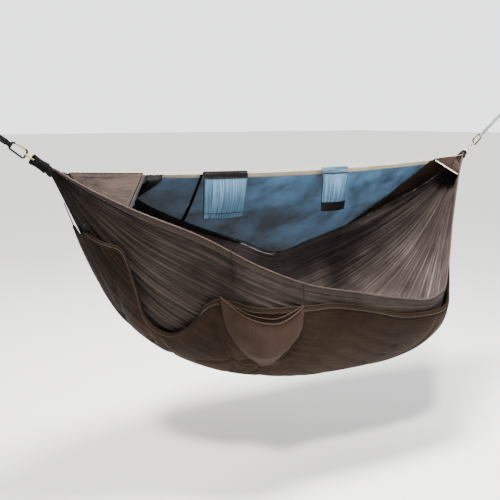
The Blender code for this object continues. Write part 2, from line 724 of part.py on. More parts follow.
def make_gate(end, place, nose, pivot, along_gate, axis, frame):
    # Bar between nose and pivot, slotted at both ends for the frame's tongues
    across_gate = Vector((-along_gate.y, along_gate.x, 0))
    half = GATE_WIDTH / 2
    length = (pivot - nose).length - 2 * GATE_SLACK
    round_end = [(length - half + along, across) for along, across in circle(half, -pi / 2, pi / 2, 6)]
    outline = [(0, -half), *round_end, (0, half)]
    hinge = place(axis.x, 0, axis.y)

    def gate_place(along, across, side):
        spot = nose + (GATE_SLACK + along) * along_gate + across * across_gate
        return place(spot.x, side, spot.y)

    gate = prism(end + "_gate", [outline], gate_place, -ROD_RADIUS, ROD_RADIUS,
                 "gold_anodised", origin=hinge)
    reach = TONGUE_LENGTH + GATE_SLACK
    for tag, low, high in (("nose", -CUT_OVERRUN, reach), ("pivot", length - reach, length + CUT_OVERRUN)):
        slot = [(low, -half - CUT_OVERRUN), (high, -half - CUT_OVERRUN),
                (high, half + CUT_OVERRUN), (low, half + CUT_OVERRUN)]
        width = TONGUE / 2 * ROD_SQUARE_SHARE + GATE_SLACK
        cut(gate, prism(f"{end}_{tag}_slot_cutter", [slot], gate_place, -width, width, "rivet_steel"))
    hole = [circle(RIVET_RADIUS + SEAT_GAP, 0, 2 * pi, 12)[:-1]]

    def pin_place(along, across, side):
        spot = axis + along * along_gate + across * across_gate
        return place(spot.x, side, spot.y)

    deep = ROD_RADIUS + CUT_OVERRUN
    for item in (gate, frame):
        cut(item, prism(item.name + "_pin_cutter", hole, pin_place, -deep, deep, "rivet_steel"))
    top = ROD_RADIUS + SEAT_GAP
    head = top + RIVET_HEAD
    profile = [(-head, RIVET_RADIUS), (-top, RIVET_HEAD_SHARE * RIVET_RADIUS), (-top, RIVET_RADIUS),
               (top, RIVET_RADIUS), (top, RIVET_HEAD_SHARE * RIVET_RADIUS), (head, RIVET_RADIUS)]
    turned(end + "_gate_rivet", hinge, ACROSS, ALONG, profile, 12, "rivet_steel")


def twist_plane(end):
    # The webbing twists here, so both its faces are upright across +X
    lean = tan(HANG_ANGLE)

    def place(along, across, up):
        if along == TWIST_REACH - SEAT_GAP / 2 or along == TWIST_REACH + SEAT_GAP / 2:
            along = along + up * lean
        return suspension_place(end)(along, across, up)
    return place


def make_webbing(end):
    slot = "black_webbing" if end == "foot" else "grey_webbing"
    place = twist_plane(end)
    bar = CARABINER_START + CARABINER_LENGTH - ROD_RADIUS
    bore = ROD_CORNER_SHARE * ROD_RADIUS + SEAT_GAP
    outside = bore + WEBBING
    throat = bar + 2 * outside
    stitched = throat + STITCHED_LENGTH
    strap_end = TWIST_REACH - SEAT_GAP / 2
    single = WEBBING / 2
    lean_in = asin(WEBBING / outside)
    round_bar = [(bar - along, across) for along, across in circle(outside, lean_in - pi / 2 - pi / 6,
                                                                  pi / 2 + pi / 6 - lean_in, 14)]
    outline = [(strap_end, -single), (stitched + WEBBING, -single), (stitched, -WEBBING),
               (throat, -WEBBING), *round_bar, (throat, WEBBING), (stitched, WEBBING),
               (stitched + WEBBING, single), (strap_end, single)]
    hole = [(bar + along, across) for along, across in circle(bore, 0, 2 * pi, 12)[:-1]]

    def strap_place(along, across, side):
        width = WEBBING_EYE_WIDTH if along < throat + WEBBING else WEBBING_WIDTH
        return place(along, across, side * width / 2)

    prism(end + "_strap", [outline, hole], strap_place, -1, 1, slot)

    eye_start = TWIST_REACH + SEAT_GAP / 2
    middle = SUSPENSION_LENGTH
    spread = pi - acos(ANCHOR_EYE_RADIUS / ANCHOR_EYE_THROAT)
    outer = ANCHOR_EYE_RADIUS + WEBBING
    throat = middle - ANCHOR_EYE_THROAT - 2 * WEBBING
    round_post = [(middle + along, across) for along, across in circle(outer, -spread, spread, 18)]
    outline = [(eye_start, -WEBBING), (throat, -WEBBING), *round_post, (throat, WEBBING),
               (eye_start, WEBBING)]
    hole = [(middle - ANCHOR_EYE_THROAT, 0)]
    hole += [(middle + along, across)
             for along, across in circle(ANCHOR_EYE_RADIUS, -spread, spread, 18)]

    def eye_place(along, across, side):
        return place(along, across, side * WEBBING_WIDTH / 2)

    prism(end + "_anchor_eye", [outline, hole], eye_place, -1, 1, slot)


# Net walls and end caps: ruled between the ridge and the hems

def far_share(top):
    # Where on the far hem the panel that starts here on the ridge comes down
    seam = (FOOT_SEAM_TOP_SHARE, FOOT_SEAM_FAR_SHARE)
    for start, stop in (((FOOT_CAP_TOP_SHARE, FOOT_CAP_FAR_SHARE), seam),
                        (seam, (HEAD_CAP_TOP_SHARE, HEAD_CAP_FAR_SHARE))):
        if top <= stop[0]:
            break
    t = (top - start[0]) / (stop[0] - start[0])
    return start[1] + t * (stop[1] - start[1])


def net_top(s):
    return ridge_point(s) + TAPE_OFFSET * ACROSS - TAPE_DROP * UP


def net_point(top, down):
    # down: 0 at the ridge, 1 at the far hem
    high = net_top(top)
    low = hem_seat(far_share(top), "far", high)
    fall = 4 * NET_SAG * down * (1 - down)
    return high + down * (low - high) - fall * UP


def net_lean(top, down):
    step = 1e-3
    forward = net_point(top + step, down) - net_point(top - step, down)
    downward = net_point(top, down + step) - net_point(top, down - step)
    return forward.cross(downward).normalized()


def tape_share(top):
    return TAPE_WIDTH / (net_point(top, 1) - net_top(top)).length


def net_panel(name, start, stop, columns, rows, thickness, slot, tape=False):
    near_face = []
    far_face = []
    for row in range(rows + 1):
        near_row = []
        far_row = []
        for column in range(columns + 1):
            top = start + (stop - start) * column / columns
            edge = tape_share(top)
            if tape:
                down = edge * row / rows
            else:
                first = edge + SEAM_GAP / TAPE_WIDTH * edge
                down = first + (1 - first) * row / rows
            spot = net_point(top, down)
            lean = net_lean(top, down)
            near_row.append(spot + thickness / 2 * lean)
            far_row.append(spot - thickness / 2 * lean)
        near_face.append(near_row)
        far_face.append(far_row)
    sheet(name, near_face, far_face, slot)


def make_net():
    gap = SEAM_GAP / RIDGELINE_LENGTH
    binding = BINDING_WIDTH / RIDGELINE_LENGTH
    foot_edge = FOOT_CAP_TOP_SHARE + gap
    head_edge = HEAD_CAP_TOP_SHARE - CAP_SEAM_GAP / RIDGELINE_LENGTH
    net_panel("net_ridge_tape", foot_edge, head_edge, 18, 1, NET, "pale_tape", tape=True)
    net_panel("net_wall_foot", foot_edge, FOOT_SEAM_TOP_SHARE - binding / 2 - gap, 4, 6, NET, "netting")
    net_panel("net_binding_foot", FOOT_SEAM_TOP_SHARE - binding / 2, FOOT_SEAM_TOP_SHARE + binding / 2,
              1, 6, 2 * NET, "black_trim")
    net_panel("net_wall", FOOT_SEAM_TOP_SHARE + binding / 2 + gap, head_edge - binding - gap, 14, 6,
              NET, "netting")
    net_panel("net_binding_head", head_edge - binding, head_edge, 1, 6, 2 * NET, "black_trim")


def cap_point(top, near, far, side, down, sag):
    # side: -1 on the door's side, 1 on the far side; down: 0 on the ridge, 1 at the hem
    crest = ridge_point(top) - CAP_REVEAL * UP
    if side < 0:
        high = crest
        foot = hem_seat(near, "near", crest)
    else:
        # Level with the net, which hangs behind the ridgeline
        high = net_top(top) if down > 0 else crest
        foot = hem_seat(far, "far", net_top(top))
    return high + down * (foot - high) - 4 * sag * down * (1 - down) * UP


def make_cap(name, near_edge, far_edge, top_edge, tip, slot):
    # The door edge is straight and the cloth behind it hangs a little slack
    spots = [(-1, down) for down in reversed(CAP_COLUMN_SHARES)]
    spots += [(1, down) for down in CAP_COLUMN_SHARES[1:]]
    outer = []
    inner = []
    for row in range(CAP_ROWS + 1):
        t = row / CAP_ROWS
        shares = [edge + t * (tip - edge) for edge in (top_edge, near_edge, far_edge)]
        sag = CAP_SAG * sin(pi * t)
        places = [cap_point(*shares, side, down, sag) for side, down in spots]
        inner_row = []
        for k, spot in enumerate(places):
            span = places[min(k + 1, len(places) - 1)] - places[max(k - 1, 0)]
            inner_row.append(spot - CAP * Vector((0, -span.z, span.y)).normalized())
        outer.append(places)
        inner.append(inner_row)
    sheet(name, outer, inner, slot)


def make_caps():
    make_cap("foot_end_cap", FOOT_CAP_NEAR_SHARE, FOOT_CAP_FAR_SHARE, FOOT_CAP_TOP_SHARE,
             CAP_START_SHARE, "cap_nylon")
    make_cap("head_end_cap", HEAD_CAP_NEAR_SHARE, HEAD_CAP_FAR_SHARE, HEAD_CAP_TOP_SHARE,
             HEAD_CAP_END_SHARE, "cap_nylon")


# Zip down the foot cap's door edge

def door_edge(top, near, far, away):
    # Straight edge of a cap, from the near hem up to the ridge
    crest = cap_point(top, near, far, -1, CAP_COLUMN_SHARES[1], 0)
    low = cap_point(top, near, far, -1, 1, 0)
    climb = (crest - low).normalized()
    sideways = away * ALONG
    sideways = (sideways - sideways.dot(climb) * climb).normalized()
    outside = climb.cross(sideways).normalized()
    outside = outside if outside.y < 0 else -outside
    length = (crest - low).length

    def place(along, across, out):
        # Half the cap's cloth in, so that the strip lies in the cap's own plane
        return low + along * climb + (across + SEAM_GAP) * sideways + (out - CAP / 2) * outside
    return place, length


def make_zip():
    place, length = door_edge(FOOT_CAP_TOP_SHARE, FOOT_CAP_NEAR_SHARE, FOOT_CAP_FAR_SHARE, 1)
    start = HEM_RADIUS
    outline = [(start, 0), (length, 0), (length, ZIP_TAPE_WIDTH), (start, ZIP_TAPE_WIDTH)]
    prism("zip_tape", [outline], place, -ZIP_TAPE / 2, ZIP_TAPE / 2, "zip_black")
    rest = SLIDER_REST_SHARE * length
    slack = 2 * SEAT_GAP
    edge = ZIP_TAPE_WIDTH + slack
    inner = edge - SLIDER_WIDTH / 2
    half = SLIDER_THICKNESS / 2
    groove = ZIP_TAPE / 2 + slack
    # Section of the slider: two plates joined past the tape's free edge
    section = [(inner, groove), (edge, groove), (edge, -groove), (inner, -groove), (inner, -half),
               (edge + half, -half), (edge + half, half), (inner, half)]

    def slider_place(across, out, along):
        return place(rest + along, across, out)

    origin = place(rest, ZIP_TAPE_WIDTH, 0)
    prism("zip_slider", [section], slider_place, 0, SLIDER_LENGTH, "zip_black", origin=origin)
    # The pull hangs from the slider's free side on a short cord that ends in a bead
    hinge = place(rest + SLIDER_LENGTH / 2, edge + half + SEAT_GAP + PULL_RADIUS, 0)
    swell = (1, 1, 1, 1, 0.8, 1.3, PULL_BEAD_RADIUS / PULL_RADIUS, PULL_BEAD_RADIUS / PULL_RADIUS, 1.2)
    spots = (0, 0.12, 0.4, 0.6, 0.68, 0.72, 0.80, 0.92, 1)
    pull = cord("zip_pull", [-spot * PULL_LENGTH * UP for spot in spots], PULL_RADIUS, "zip_black",
                swell=swell)
    pull.location = hinge
    # Cream binding along the head cap's door edge
    place, length = door_edge(HEAD_CAP_TOP_SHARE, HEAD_CAP_NEAR_SHARE, HEAD_CAP_FAR_SHARE, -1)
    outline = [(start, 0), (length, 0), (length, EDGE_BAND_WIDTH), (start, EDGE_BAND_WIDTH)]
    prism("head_cap_edge", [outline], place, -CAP / 2, CAP / 2, "pale_tape")


# Door net, rolled up and stowed along the foot end and the far hem

def bundle_route():
    # Middle of the roll with its half width and half depth as shares of its radius
    down = -1.25 * BUNDLE_RADIUS * UP
    # Its top hangs against the near face of the ridge tape
    seat = TAPE_OFFSET - NET - 0.14 * BUNDLE_RADIUS - SEAT_GAP
    stations = [
        (ridge_point(0.186) + Vector((0, seat, -1.6 * TAPE_DROP)), 1.55, 0.14),
        (ridge_point(0.187) + Vector((0, 0.4 * BUNDLE_RADIUS, -1.3 * BUNDLE_RADIUS)), 1.15, 0.45),
        (net_point(0.188, 0.28) + down, 0.72, 0.62),
        (net_point(0.190, 0.50) + down, 0.74, 0.74),
        (net_point(0.197, 0.70) + down, 0.80, 0.78),
    ]
    for share, size in ((0.235, 0.72), (0.285, 0.60), (0.34, 0.48), (0.40, 0.36), (0.455, 0.26),
                        (0.50, 0.18)):
        across, rise = BUNDLE_SEAT_SHARES
        inward = size * BUNDLE_RADIUS * (across * ACROSS + rise * UP)
        stations.append((hem_point(share, "far")[0] + inward, size, size))
    return stations


def bundle_ring(index, grow=0.0):
    stations = bundle_route()
    steps = BUNDLE_STEPS
    route = through_points([place for place, wide, deep in stations], steps)
    wides = through_points([Vector((wide, deep, 0)) for place, wide, deep in stations], steps)
    spot = route[index]
    ahead = (route[min(index + 1, len(route) - 1)] - route[max(index - 1, 0)]).normalized()
    # The roll's wide side turns from along the ridge to level as it bends along the hem
    turned_share = min(1, max(0, (index / steps - 3) / 2))
    side = (1 - turned_share) * ALONG + turned_share * ahead.cross(UP)
    side = (side - side.dot(ahead) * ahead).normalized()
    other = ahead.cross(side).normalized()
    sides = 15
    ring = []
    for k in range(sides):
        turn = 2 * pi * k / sides
        fold = 1 - BUNDLE_FOLD_DEPTH / BUNDLE_RADIUS * (1 - cos(BUNDLE_FOLDS * turn)) / 2
        wide = BUNDLE_RADIUS * wides[index].x * fold + grow
        deep = BUNDLE_RADIUS * wides[index].y * fold + grow
        ring.append(spot + wide * cos(turn) * side + deep * sin(turn) * other)
    return ring, ahead


def make_bundle():
    count = BUNDLE_STEPS * (len(bundle_route()) - 1) + 1
    loft("net_bundle", [bundle_ring(index)[0] for index in range(count)], "black_trim")
    outer = []
    inner = []
    for shift in (-1, 1):
        ring, ahead = bundle_ring(TIE_STATION, SEAM_GAP)
        wide_ring = bundle_ring(TIE_STATION, SEAM_GAP + TIE_THICKNESS)[0]
        move = shift * TIE_WIDTH / 2 * ahead
        inner.append([point + move for point in ring])
        outer.append([point + move for point in wide_ring])
    hollow("bundle_tie", outer, inner, "black_trim", False)


# Bags: an open shell between a back wall and a belly

def make_bag(name, point, belly, wall, wall_share, floor_share, rows, columns, slot, origin=None):
    # point(across share, depth, down share) gives a place; belly(across, down) the depth
    outer = []
    inner = []
    for rings, start, stop, margin, inset in ((outer, 0, 1, 0, 0),
                                              (inner, 0, 1 - floor_share, wall_share, wall)):
        for row in range(rows + 1):
            down = start + (stop - start) * row / rows
            shares = [margin + (1 - 2 * margin) * k / columns for k in range(columns + 1)]
            back = [point(share, inset, down) for share in shares]
            front = [point(share, belly(share, down) - inset, down) for share in reversed(shares)]
            rings.append(back + front)
    return hollow(name, outer, inner, slot, True, origin=origin)


# Organizers on the ridgeline

def organizer_frame(share):
    step = 1e-3
    middle = ridge_point(share)
    run = (ridge_point(share + step) - ridge_point(share - step)).normalized()
    return middle, run, -run.cross(ACROSS).normalized()


def make_organizer(name, share, width, hang):
    middle, run, upward = organizer_frame(share)
    upward = upward if upward.z > 0 else -upward
    # The channel's top rests on the ridgeline
    middle = middle - (CHANNEL_BORE - RIDGELINE_RADIUS - CHANNEL_SLACK) * upward

    def place(along, across, up):
        return middle + along * run + across * ACROSS + up * upward

    outside = CHANNEL_BORE + BAND
    # Keyhole section: a channel round the ridgeline with a skirt below its near side
    turn = [(outside * cos(angle), outside * sin(angle)) for angle in
            [pi + 2 * pi * k / 16 for k in range(1, 16)]]
    skirt = [(-outside, -BAND_DROP), (-outside + BAND, -BAND_DROP)]
    below = [spot for spot in turn if spot[1] < -BAND]
    joined = [spot for spot in turn if spot not in below]
    outline = skirt + [spot for spot in below if spot[0] > -outside + BAND] + joined + [(-outside, 0)]
    hole = circle(CHANNEL_BORE, 0, 2 * pi, 14)[:-1]

    def band_place(across, up, along):
        return place(along, across, up)

    prism(name + "_band", [outline, hole], band_place, -width / 2, width / 2, "black_trim",
          origin=place(0, 0, 0))

    back = -outside + BAND
    hinge = place(0, back - BAND / 2, -BAND_DROP)
    top = -BAND_DROP - SEAT_GAP
    bag_width = width - 2 * BAND

    def bag_point(across, depth, down):
        narrow = 1 - 0.10 * down
        lean = BAG_LEAN_SHARE * down * hang
        return place((across - 0.5) * bag_width * narrow, back + lean - depth, top - down * hang)

    def belly(across, down):
        swell = BAG_MOUTH + (BAG_BELLY - BAG_MOUTH) * sin(pi * min(1, 0.15 + 0.85 * down))
        return 4 * BAG_WALL + swell * sin(pi * across) ** 0.6

    make_bag(name + "_bag", bag_point, belly, BAG_WALL, BAG_WALL / width, BAG_WALL / hang, 5, 6,
             "netting", origin=hinge)
    low = top - hang - SEAT_GAP
    half = 0.44 * bag_width
    base = [(-half, -BASE_THICKNESS), (half, -BASE_THICKNESS), (half, 0), (-half, 0)]

    def base_place(along, up, across):
        return place(along, back + BAG_LEAN_SHARE * hang - across, low + up)

    prism(name + "_base", [base], base_place, 0, BASE_DEPTH, "black_trim", origin=hinge)
    rim = []
    for k in range(13):
        across = k / 12
        spot = bag_point(across, belly(across, 0) - BAG_WALL / 2, 0)
        rim.append(spot + (RIM_RADIUS + SEAT_GAP) * upward - hinge)
    rim = [spot - RIM_RADIUS * ACROSS for spot in rim]
    binding = cord(name + "_rim", rim, RIM_RADIUS, "black_trim")
    binding.location = hinge


# Underquilt

def quilt_share(s, across):
    near = curve_share(QUILT_NEAR_SHARES, s)
    far = curve_share(QUILT_FAR_SHARES, s)
    return near + across * (far - near)


def quilt_loft(s, across):
    along = (s - QUILT_START_SHARE) / (QUILT_END_SHARE - QUILT_START_SHARE)
    crown = sqrt(max(0, sin(pi * min(1, max(0, across))) * sin(pi * min(1, max(0, along)))))
    return QUILT_EDGE + (QUILT_LOFT - QUILT_EDGE) * crown


def quilt_outside(s, v):
    near = curve_share(QUILT_NEAR_SHARES, s)
    far = curve_share(QUILT_FAR_SHARES, s)
    return QUILT_GAP + quilt_loft(s, (v - near) / (far - near))


def make_quilt():
    outer = []
    inner = []
    for row in range(QUILT_ROWS + 1):
        s = curve_share(QUILT_ROW_SHARES, row / QUILT_ROWS)
        outer_row = []
        inner_row = []
        for column in range(QUILT_COLUMNS + 1):
            across = column / QUILT_COLUMNS
            v = quilt_share(s, across)
            inner_row.append(cloth_point(s, v, QUILT_GAP))
            outer_row.append(cloth_point(s, v, QUILT_GAP + quilt_loft(s, across)))
        outer.append(outer_row)
        inner.append(inner_row)
    sheet("underquilt", outer, inner, "quilt_nylon")


def make_quilt_cords():
    # A drawcord in the channel at each end, and two elastic tethers to the gather
    out = QUILT_GAP + QUILT_EDGE / 2
    for end, edge, beyond, tack in (("foot", QUILT_START_SHARE, -1, TETHER_TACK_SHARE),
                                    ("head", QUILT_END_SHARE, 1, 1 - TETHER_TACK_SHARE)):
        shares = [quilt_share(edge, column / QUILT_COLUMNS) for column in range(QUILT_COLUMNS + 1)]
        # Away from the quilt's end, square to the edge
        rim = [cloth_point(edge, v, out) for v in shares]
        aheads = []
        for column, v in enumerate(shares):
            run = (rim[min(column + 1, QUILT_COLUMNS)] - rim[max(column - 1, 0)]).normalized()
            ahead = cloth_point(edge + beyond * RUN_STEP_SHARE, v, out) - rim[column]
            aheads.append((ahead - ahead.dot(run) * run).normalized())
        route = [spot + (DRAWCORD_RADIUS + 3 * SEAT_GAP) * ahead
                 for spot, ahead in zip(rim, aheads)]
        for tag, column in zip(("near", "far"), TETHER_COLUMNS):
            v = shares[column]
            start = route[column] + (DRAWCORD_RADIUS + SEAT_GAP) * aheads[column]
            tether = [start, start + 2 * TETHER_RADIUS * aheads[column]]
            tacked = TETHER_RADIUS + 2 * SEAT_GAP
            for k in (4, 5, 6, 7, 8):
                height = out + (tacked - out) * k / 8
                tether.append(cloth_point(edge + (tack - edge) * k / 8, v, height))
            cord(f"quilt_{end}_tether_{tag}", tether, TETHER_RADIUS, "black_trim")
        if end == "foot":
            bend, tail = [cloth_point(edge - 0.002, v, out) for v in DRAWCORD_TAIL_SHARES]
            route = [tail, bend] + route
            run = (bend - tail).normalized()
            outward = cloth_lean(edge, DRAWCORD_TAIL_SHARES[1])[0]
            axis = (outward - outward.dot(run) * run).normalized()
            make_lock("quilt_lock", tail + LOCK_SPOT_SHARE * (bend - tail), run, axis,
                      DRAWCORD_RADIUS + LOCK_CORD_SLACK)
        cord(f"quilt_{end}_cord", route, DRAWCORD_RADIUS, "black_trim")


# Storage pocket

def pocket_point(across, depth, down):
    left = curve_share(POCKET_LEFT_SHARES, down)
    right = curve_share(POCKET_RIGHT_SHARES, down)
    s = left + across * (right - left)
    v = curve_share(POCKET_TOP_SHARES, across) + down * (1 + POCKET_LEFT_DEEPER * (1 - across)) * POCKET_DEPTH_SHARE
    return cloth_point(s, v, quilt_outside(s, v) + POCKET_BACK_GAP + depth)


def pocket_belly(across, down):
    swell = POCKET_MOUTH_SHARE + (1 - POCKET_MOUTH_SHARE) * sin(pi * min(1, 1.1 * down))
    close = 1 - 0.75 * max(0, down - 0.6) / 0.4
    return POCKET_SIDE + POCKET_BELLY * swell * close * sin(pi * across) ** 0.7


def make_pocket():
    columns = POCKET_COLUMNS
    make_bag("storage_pocket", pocket_point, pocket_belly, POCKET_WALL, POCKET_SIDE_SHARE,
             POCKET_FLOOR_SHARE, 8, columns, "quilt_nylon")
    # Elastic lip above the rim, from the same stations
    spots = [(k / columns, POCKET_WALL / 2) for k in range(1, columns)]
    spots.append((1, POCKET_SIDE / 2))
    spots += [(k / columns, pocket_belly(k / columns, 0) - POCKET_WALL / 2)
              for k in range(columns - 1, 0, -1)]
    spots.append((0, POCKET_SIDE / 2))
    rim = [pocket_point(across, depth, 0) for across, depth in spots]
    lip = []
    for k, (across, depth) in enumerate(spots):
        run = (rim[(k + 1) % len(rim)] - rim[k - 1]).normalized()
        upward = rim[k] - pocket_point(across, depth, 0.05)
        upward = (upward - upward.dot(run) * run).normalized()
        lift = LIP_CORNER_LIFT if across in (0, 1) else 0
        lip.append(rim[k] + (LIP_RADIUS + LIP_GAP + lift) * upward)
    cord("pocket_lip", lip, LIP_RADIUS, "black_trim", closed=True)
    return lip[-1], lip[columns - 1]


def make_lock(name, middle, run, axis, bore):
    # Cord lock: a barrel with the cord through its solid end and a sprung plunger
    base = middle - LOCK_FLOOR / 2 * axis
    side = run
    other = axis.cross(side)
    rings = [[ring_about(base + height * axis, side, other, radius, 12) for height, radius in profile]
             for profile in (((LOCK_HEIGHT, LOCK_RADIUS - LOCK_EASE), (LOCK_HEIGHT - LOCK_EASE, LOCK_RADIUS),
                              (LOCK_EASE, LOCK_RADIUS), (0, LOCK_RADIUS - LOCK_EASE)),
                             ((LOCK_HEIGHT, LOCK_BORE), (LOCK_FLOOR, LOCK_BORE)))]
    barrel = hollow(name + "_barrel", rings[0], rings[1], "lock_plastic", True)
    reach = LOCK_RADIUS + CUT_OVERRUN
    cut(barrel, turned(name + "_cord_cutter", middle - reach * run, run, axis,
                       ((0, bore), (2 * reach, bore)), 12, "lock_plastic"))
    low = LOCK_FLOOR + PLUNGER_TRAVEL + PLUNGER_STOP
    neck = LOCK_HEIGHT + PLUNGER_TRAVEL + PLUNGER_STOP
    profile = ((low, PLUNGER_RADIUS), (neck, PLUNGER_RADIUS), (neck, PLUNGER_HEAD_RADIUS),
               (neck + PLUNGER_HEAD, PLUNGER_HEAD_RADIUS))
    turned(name + "_plunger", base, axis, side, profile, 12, "lock_plastic", origin=base)


def make_pocket_cords(left, right):
    # From the near hem down to each end of the lip, over the bare cloth between
    for (name, s, high_lean, low_lean, bend), target in zip(POCKET_CORDS, (left, right)):
        outward = cloth_lean(s, 0)[0]
        start = hem_point(s, "near")[0] + (HEM_RADIUS + SEAT_GAP) * outward
        high = cloth_point(s + high_lean, POCKET_CORD_HIGH_SHARE, POCKET_CORD_OUT)
        low = cloth_point(s + low_lean, bend, POCKET_CORD_OUT)
        stop = target + (LIP_RADIUS + SEAT_GAP) * (low - target).normalized()
        route = [start, start + 2 * POCKET_CORD_RADIUS * outward, high, low, stop]
        cord("pocket_cord_" + name, route, POCKET_CORD_RADIUS, "black_trim")
        if name == "left":
            run = (low - high).normalized()
            axis = (ALONG - ALONG.dot(run) * run).normalized()
            make_lock("pocket_lock", high + LOCK_SPOT_SHARE * (low - high), run, axis,
                      POCKET_CORD_RADIUS + LOCK_CORD_SLACK)


def build():
    clear_scene()
    make_body()
    for end in ("foot", "head"):
        neck_length, whipping_middle = make_gather(end)
        make_whipping(end, whipping_middle)
        make_loop(end, neck_length)
        make_carabiner(end)
        make_webbing(end)
        if end == "foot":
            make_sleeve(whipping_middle)
    make_net()
    make_caps()
    make_zip()
    make_bundle()
    for organizer in ORGANIZERS:
        make_organizer(*organizer)
    make_quilt()
    make_quilt_cords()
    make_pocket_cords(*make_pocket())


build()
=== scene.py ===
from math import acos, asin, cos, pi, radians, sin, sqrt, tan

import bmesh
import bpy
import numpy as np
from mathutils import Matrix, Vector


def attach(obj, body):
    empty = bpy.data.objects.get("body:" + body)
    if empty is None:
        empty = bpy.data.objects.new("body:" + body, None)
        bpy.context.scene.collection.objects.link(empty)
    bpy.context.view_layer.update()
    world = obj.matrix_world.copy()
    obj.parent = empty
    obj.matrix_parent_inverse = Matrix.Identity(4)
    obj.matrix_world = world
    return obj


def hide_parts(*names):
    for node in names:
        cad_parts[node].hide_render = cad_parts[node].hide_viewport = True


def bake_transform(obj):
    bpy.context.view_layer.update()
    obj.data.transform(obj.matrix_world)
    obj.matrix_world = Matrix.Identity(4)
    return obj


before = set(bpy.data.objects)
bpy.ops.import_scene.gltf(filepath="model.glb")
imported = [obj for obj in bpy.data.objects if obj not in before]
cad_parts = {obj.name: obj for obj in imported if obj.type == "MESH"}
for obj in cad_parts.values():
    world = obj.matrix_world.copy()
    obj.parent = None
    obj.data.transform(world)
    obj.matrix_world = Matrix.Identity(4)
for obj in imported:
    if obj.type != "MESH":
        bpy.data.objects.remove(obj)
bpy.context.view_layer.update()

print("frame loaded:", len(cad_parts), "nodes")

# x runs from the foot to the head, y away from the door's side, z up, in metres

studio = {
    "cameraPlace": (-0.9995, -3.294, -0.0566), "cameraTurn": (80.86, 0, -36.87), "lens": 58.85,
    "floorHeight": -1.86, "floorReach": 90, "floorColour": (0.93, 0.925, 0.915),
    "skyColour": (0.96, 0.975, 1.0), "skyStrength": 0.66, "backdropStrength": 2.6,
    "sunFrom": (-1.6, -1.5, 2.4), "sunStrength": 5.0, "sunWidth": 7, "sunColour": (1.0, 0.97, 0.93),
    "lamps": (((5.2, -3.4, 1.2), 2.4, 110, (0.93, 0.96, 1.0), (1.76, 0.0, -0.8)),
              ((2.2, 3.6, 2.6), 2.2, 180, (1.0, 0.96, 0.91), (1.76, 0.0, -0.8)),
              ((1.25, -0.70, 2.0), 1.0, 500, (1.0, 0.96, 0.93), (2.9, 0.10, -0.8))),
}


def makeStudio():
    camera = bpy.data.objects.new("camera", bpy.data.cameras.new("camera"))
    bpy.context.scene.collection.objects.link(camera)
    camera.location = studio["cameraPlace"]
    camera.rotation_euler = [radians(turn) for turn in studio["cameraTurn"]]
    camera.data.lens = studio["lens"]
    camera.data.sensor_width = 36
    camera.data.clip_end = 200
    bpy.context.scene.camera = camera
    for number, (place, size, power, colour, middle) in enumerate(studio["lamps"]):
        lamp = bpy.data.objects.new(f"lamp{number}", bpy.data.lights.new(f"lamp{number}", "AREA"))
        lamp.data.shape = "DISK"
        lamp.data.size = size
        lamp.data.energy = power
        lamp.data.color = colour
        lamp.location = place
        lamp.rotation_euler = (Vector(middle) - Vector(place)).to_track_quat("-Z", "Y").to_euler()
        bpy.context.scene.collection.objects.link(lamp)
    sun = bpy.data.objects.new("sun", bpy.data.lights.new("sun", "SUN"))
    sun.data.energy = studio["sunStrength"]
    sun.data.angle = radians(studio["sunWidth"])
    sun.data.color = studio["sunColour"]
    sun.rotation_euler = Vector(studio["sunFrom"]).to_track_quat("Z", "Y").to_euler()
    bpy.context.scene.collection.objects.link(sun)
    world = bpy.data.worlds.new("paleSky")
    world.use_nodes = True
    sky = world.node_tree.nodes["Background"]
    sky.inputs["Color"].default_value = (*studio["skyColour"], 1)
    path = addNode(world.node_tree, "LightPath")
    strength = addNode(world.node_tree, "MapRange", To_Min=studio["skyStrength"], To_Max=studio["backdropStrength"])
    link(world.node_tree, path.outputs["Is Camera Ray"], strength.inputs["Value"])
    link(world.node_tree, strength.outputs["Result"], sky.inputs["Strength"])
    bpy.context.scene.world = world
    reach, height = studio["floorReach"], studio["floorHeight"]
    floorMesh = bpy.data.meshes.new("floor")
    floorMesh.from_pydata([(-reach, -reach, height), (reach, -reach, height), (reach, reach, height),
                           (-reach, reach, height)], [], [(0, 1, 2, 3)])
    floor = bpy.data.objects.new("floor", floorMesh)
    bpy.context.scene.collection.objects.link(floor)
    floor.data.materials.append(plainFinish("paleFloor", studio["floorColour"]))


# Finishes

def link(tree, source, target):
    tree.links.new(source, target)


def addNode(tree, kind, **values):
    # Names that start with a capital are sockets and the others are settings
    node = tree.nodes.new("ShaderNode" + kind)
    for name, value in values.items():
        if name[0].isupper():
            node.inputs[name.replace("_", " ")].default_value = value
        else:
            setattr(node, name, value)
    return node


def startFinish(name, roughness, metallic=0.0, **sockets):
    material = bpy.data.materials.new(name)
    material.use_nodes = True
    tree = material.node_tree
    shader = tree.nodes["Principled BSDF"]
    shader.inputs["Roughness"].default_value = roughness
    shader.inputs["Metallic"].default_value = metallic
    for socket, value in sockets.items():
        shader.inputs[socket.replace("_", " ")].default_value = value
    return material, tree, shader


def plainFinish(name, colour):
    material, tree, shader = startFinish(name, 0.9)
    place = addNode(tree, "TexCoord")
    speckle = addNode(tree, "TexNoise", Scale=0.6, Detail=3.0)
    link(tree, place.outputs["Object"], speckle.inputs["Vector"])
    tone = mixColours(tree, speckle.outputs["Fac"], tuple(0.97 * part for part in colour), colour)
    link(tree, tone, shader.inputs["Base Color"])
    return material


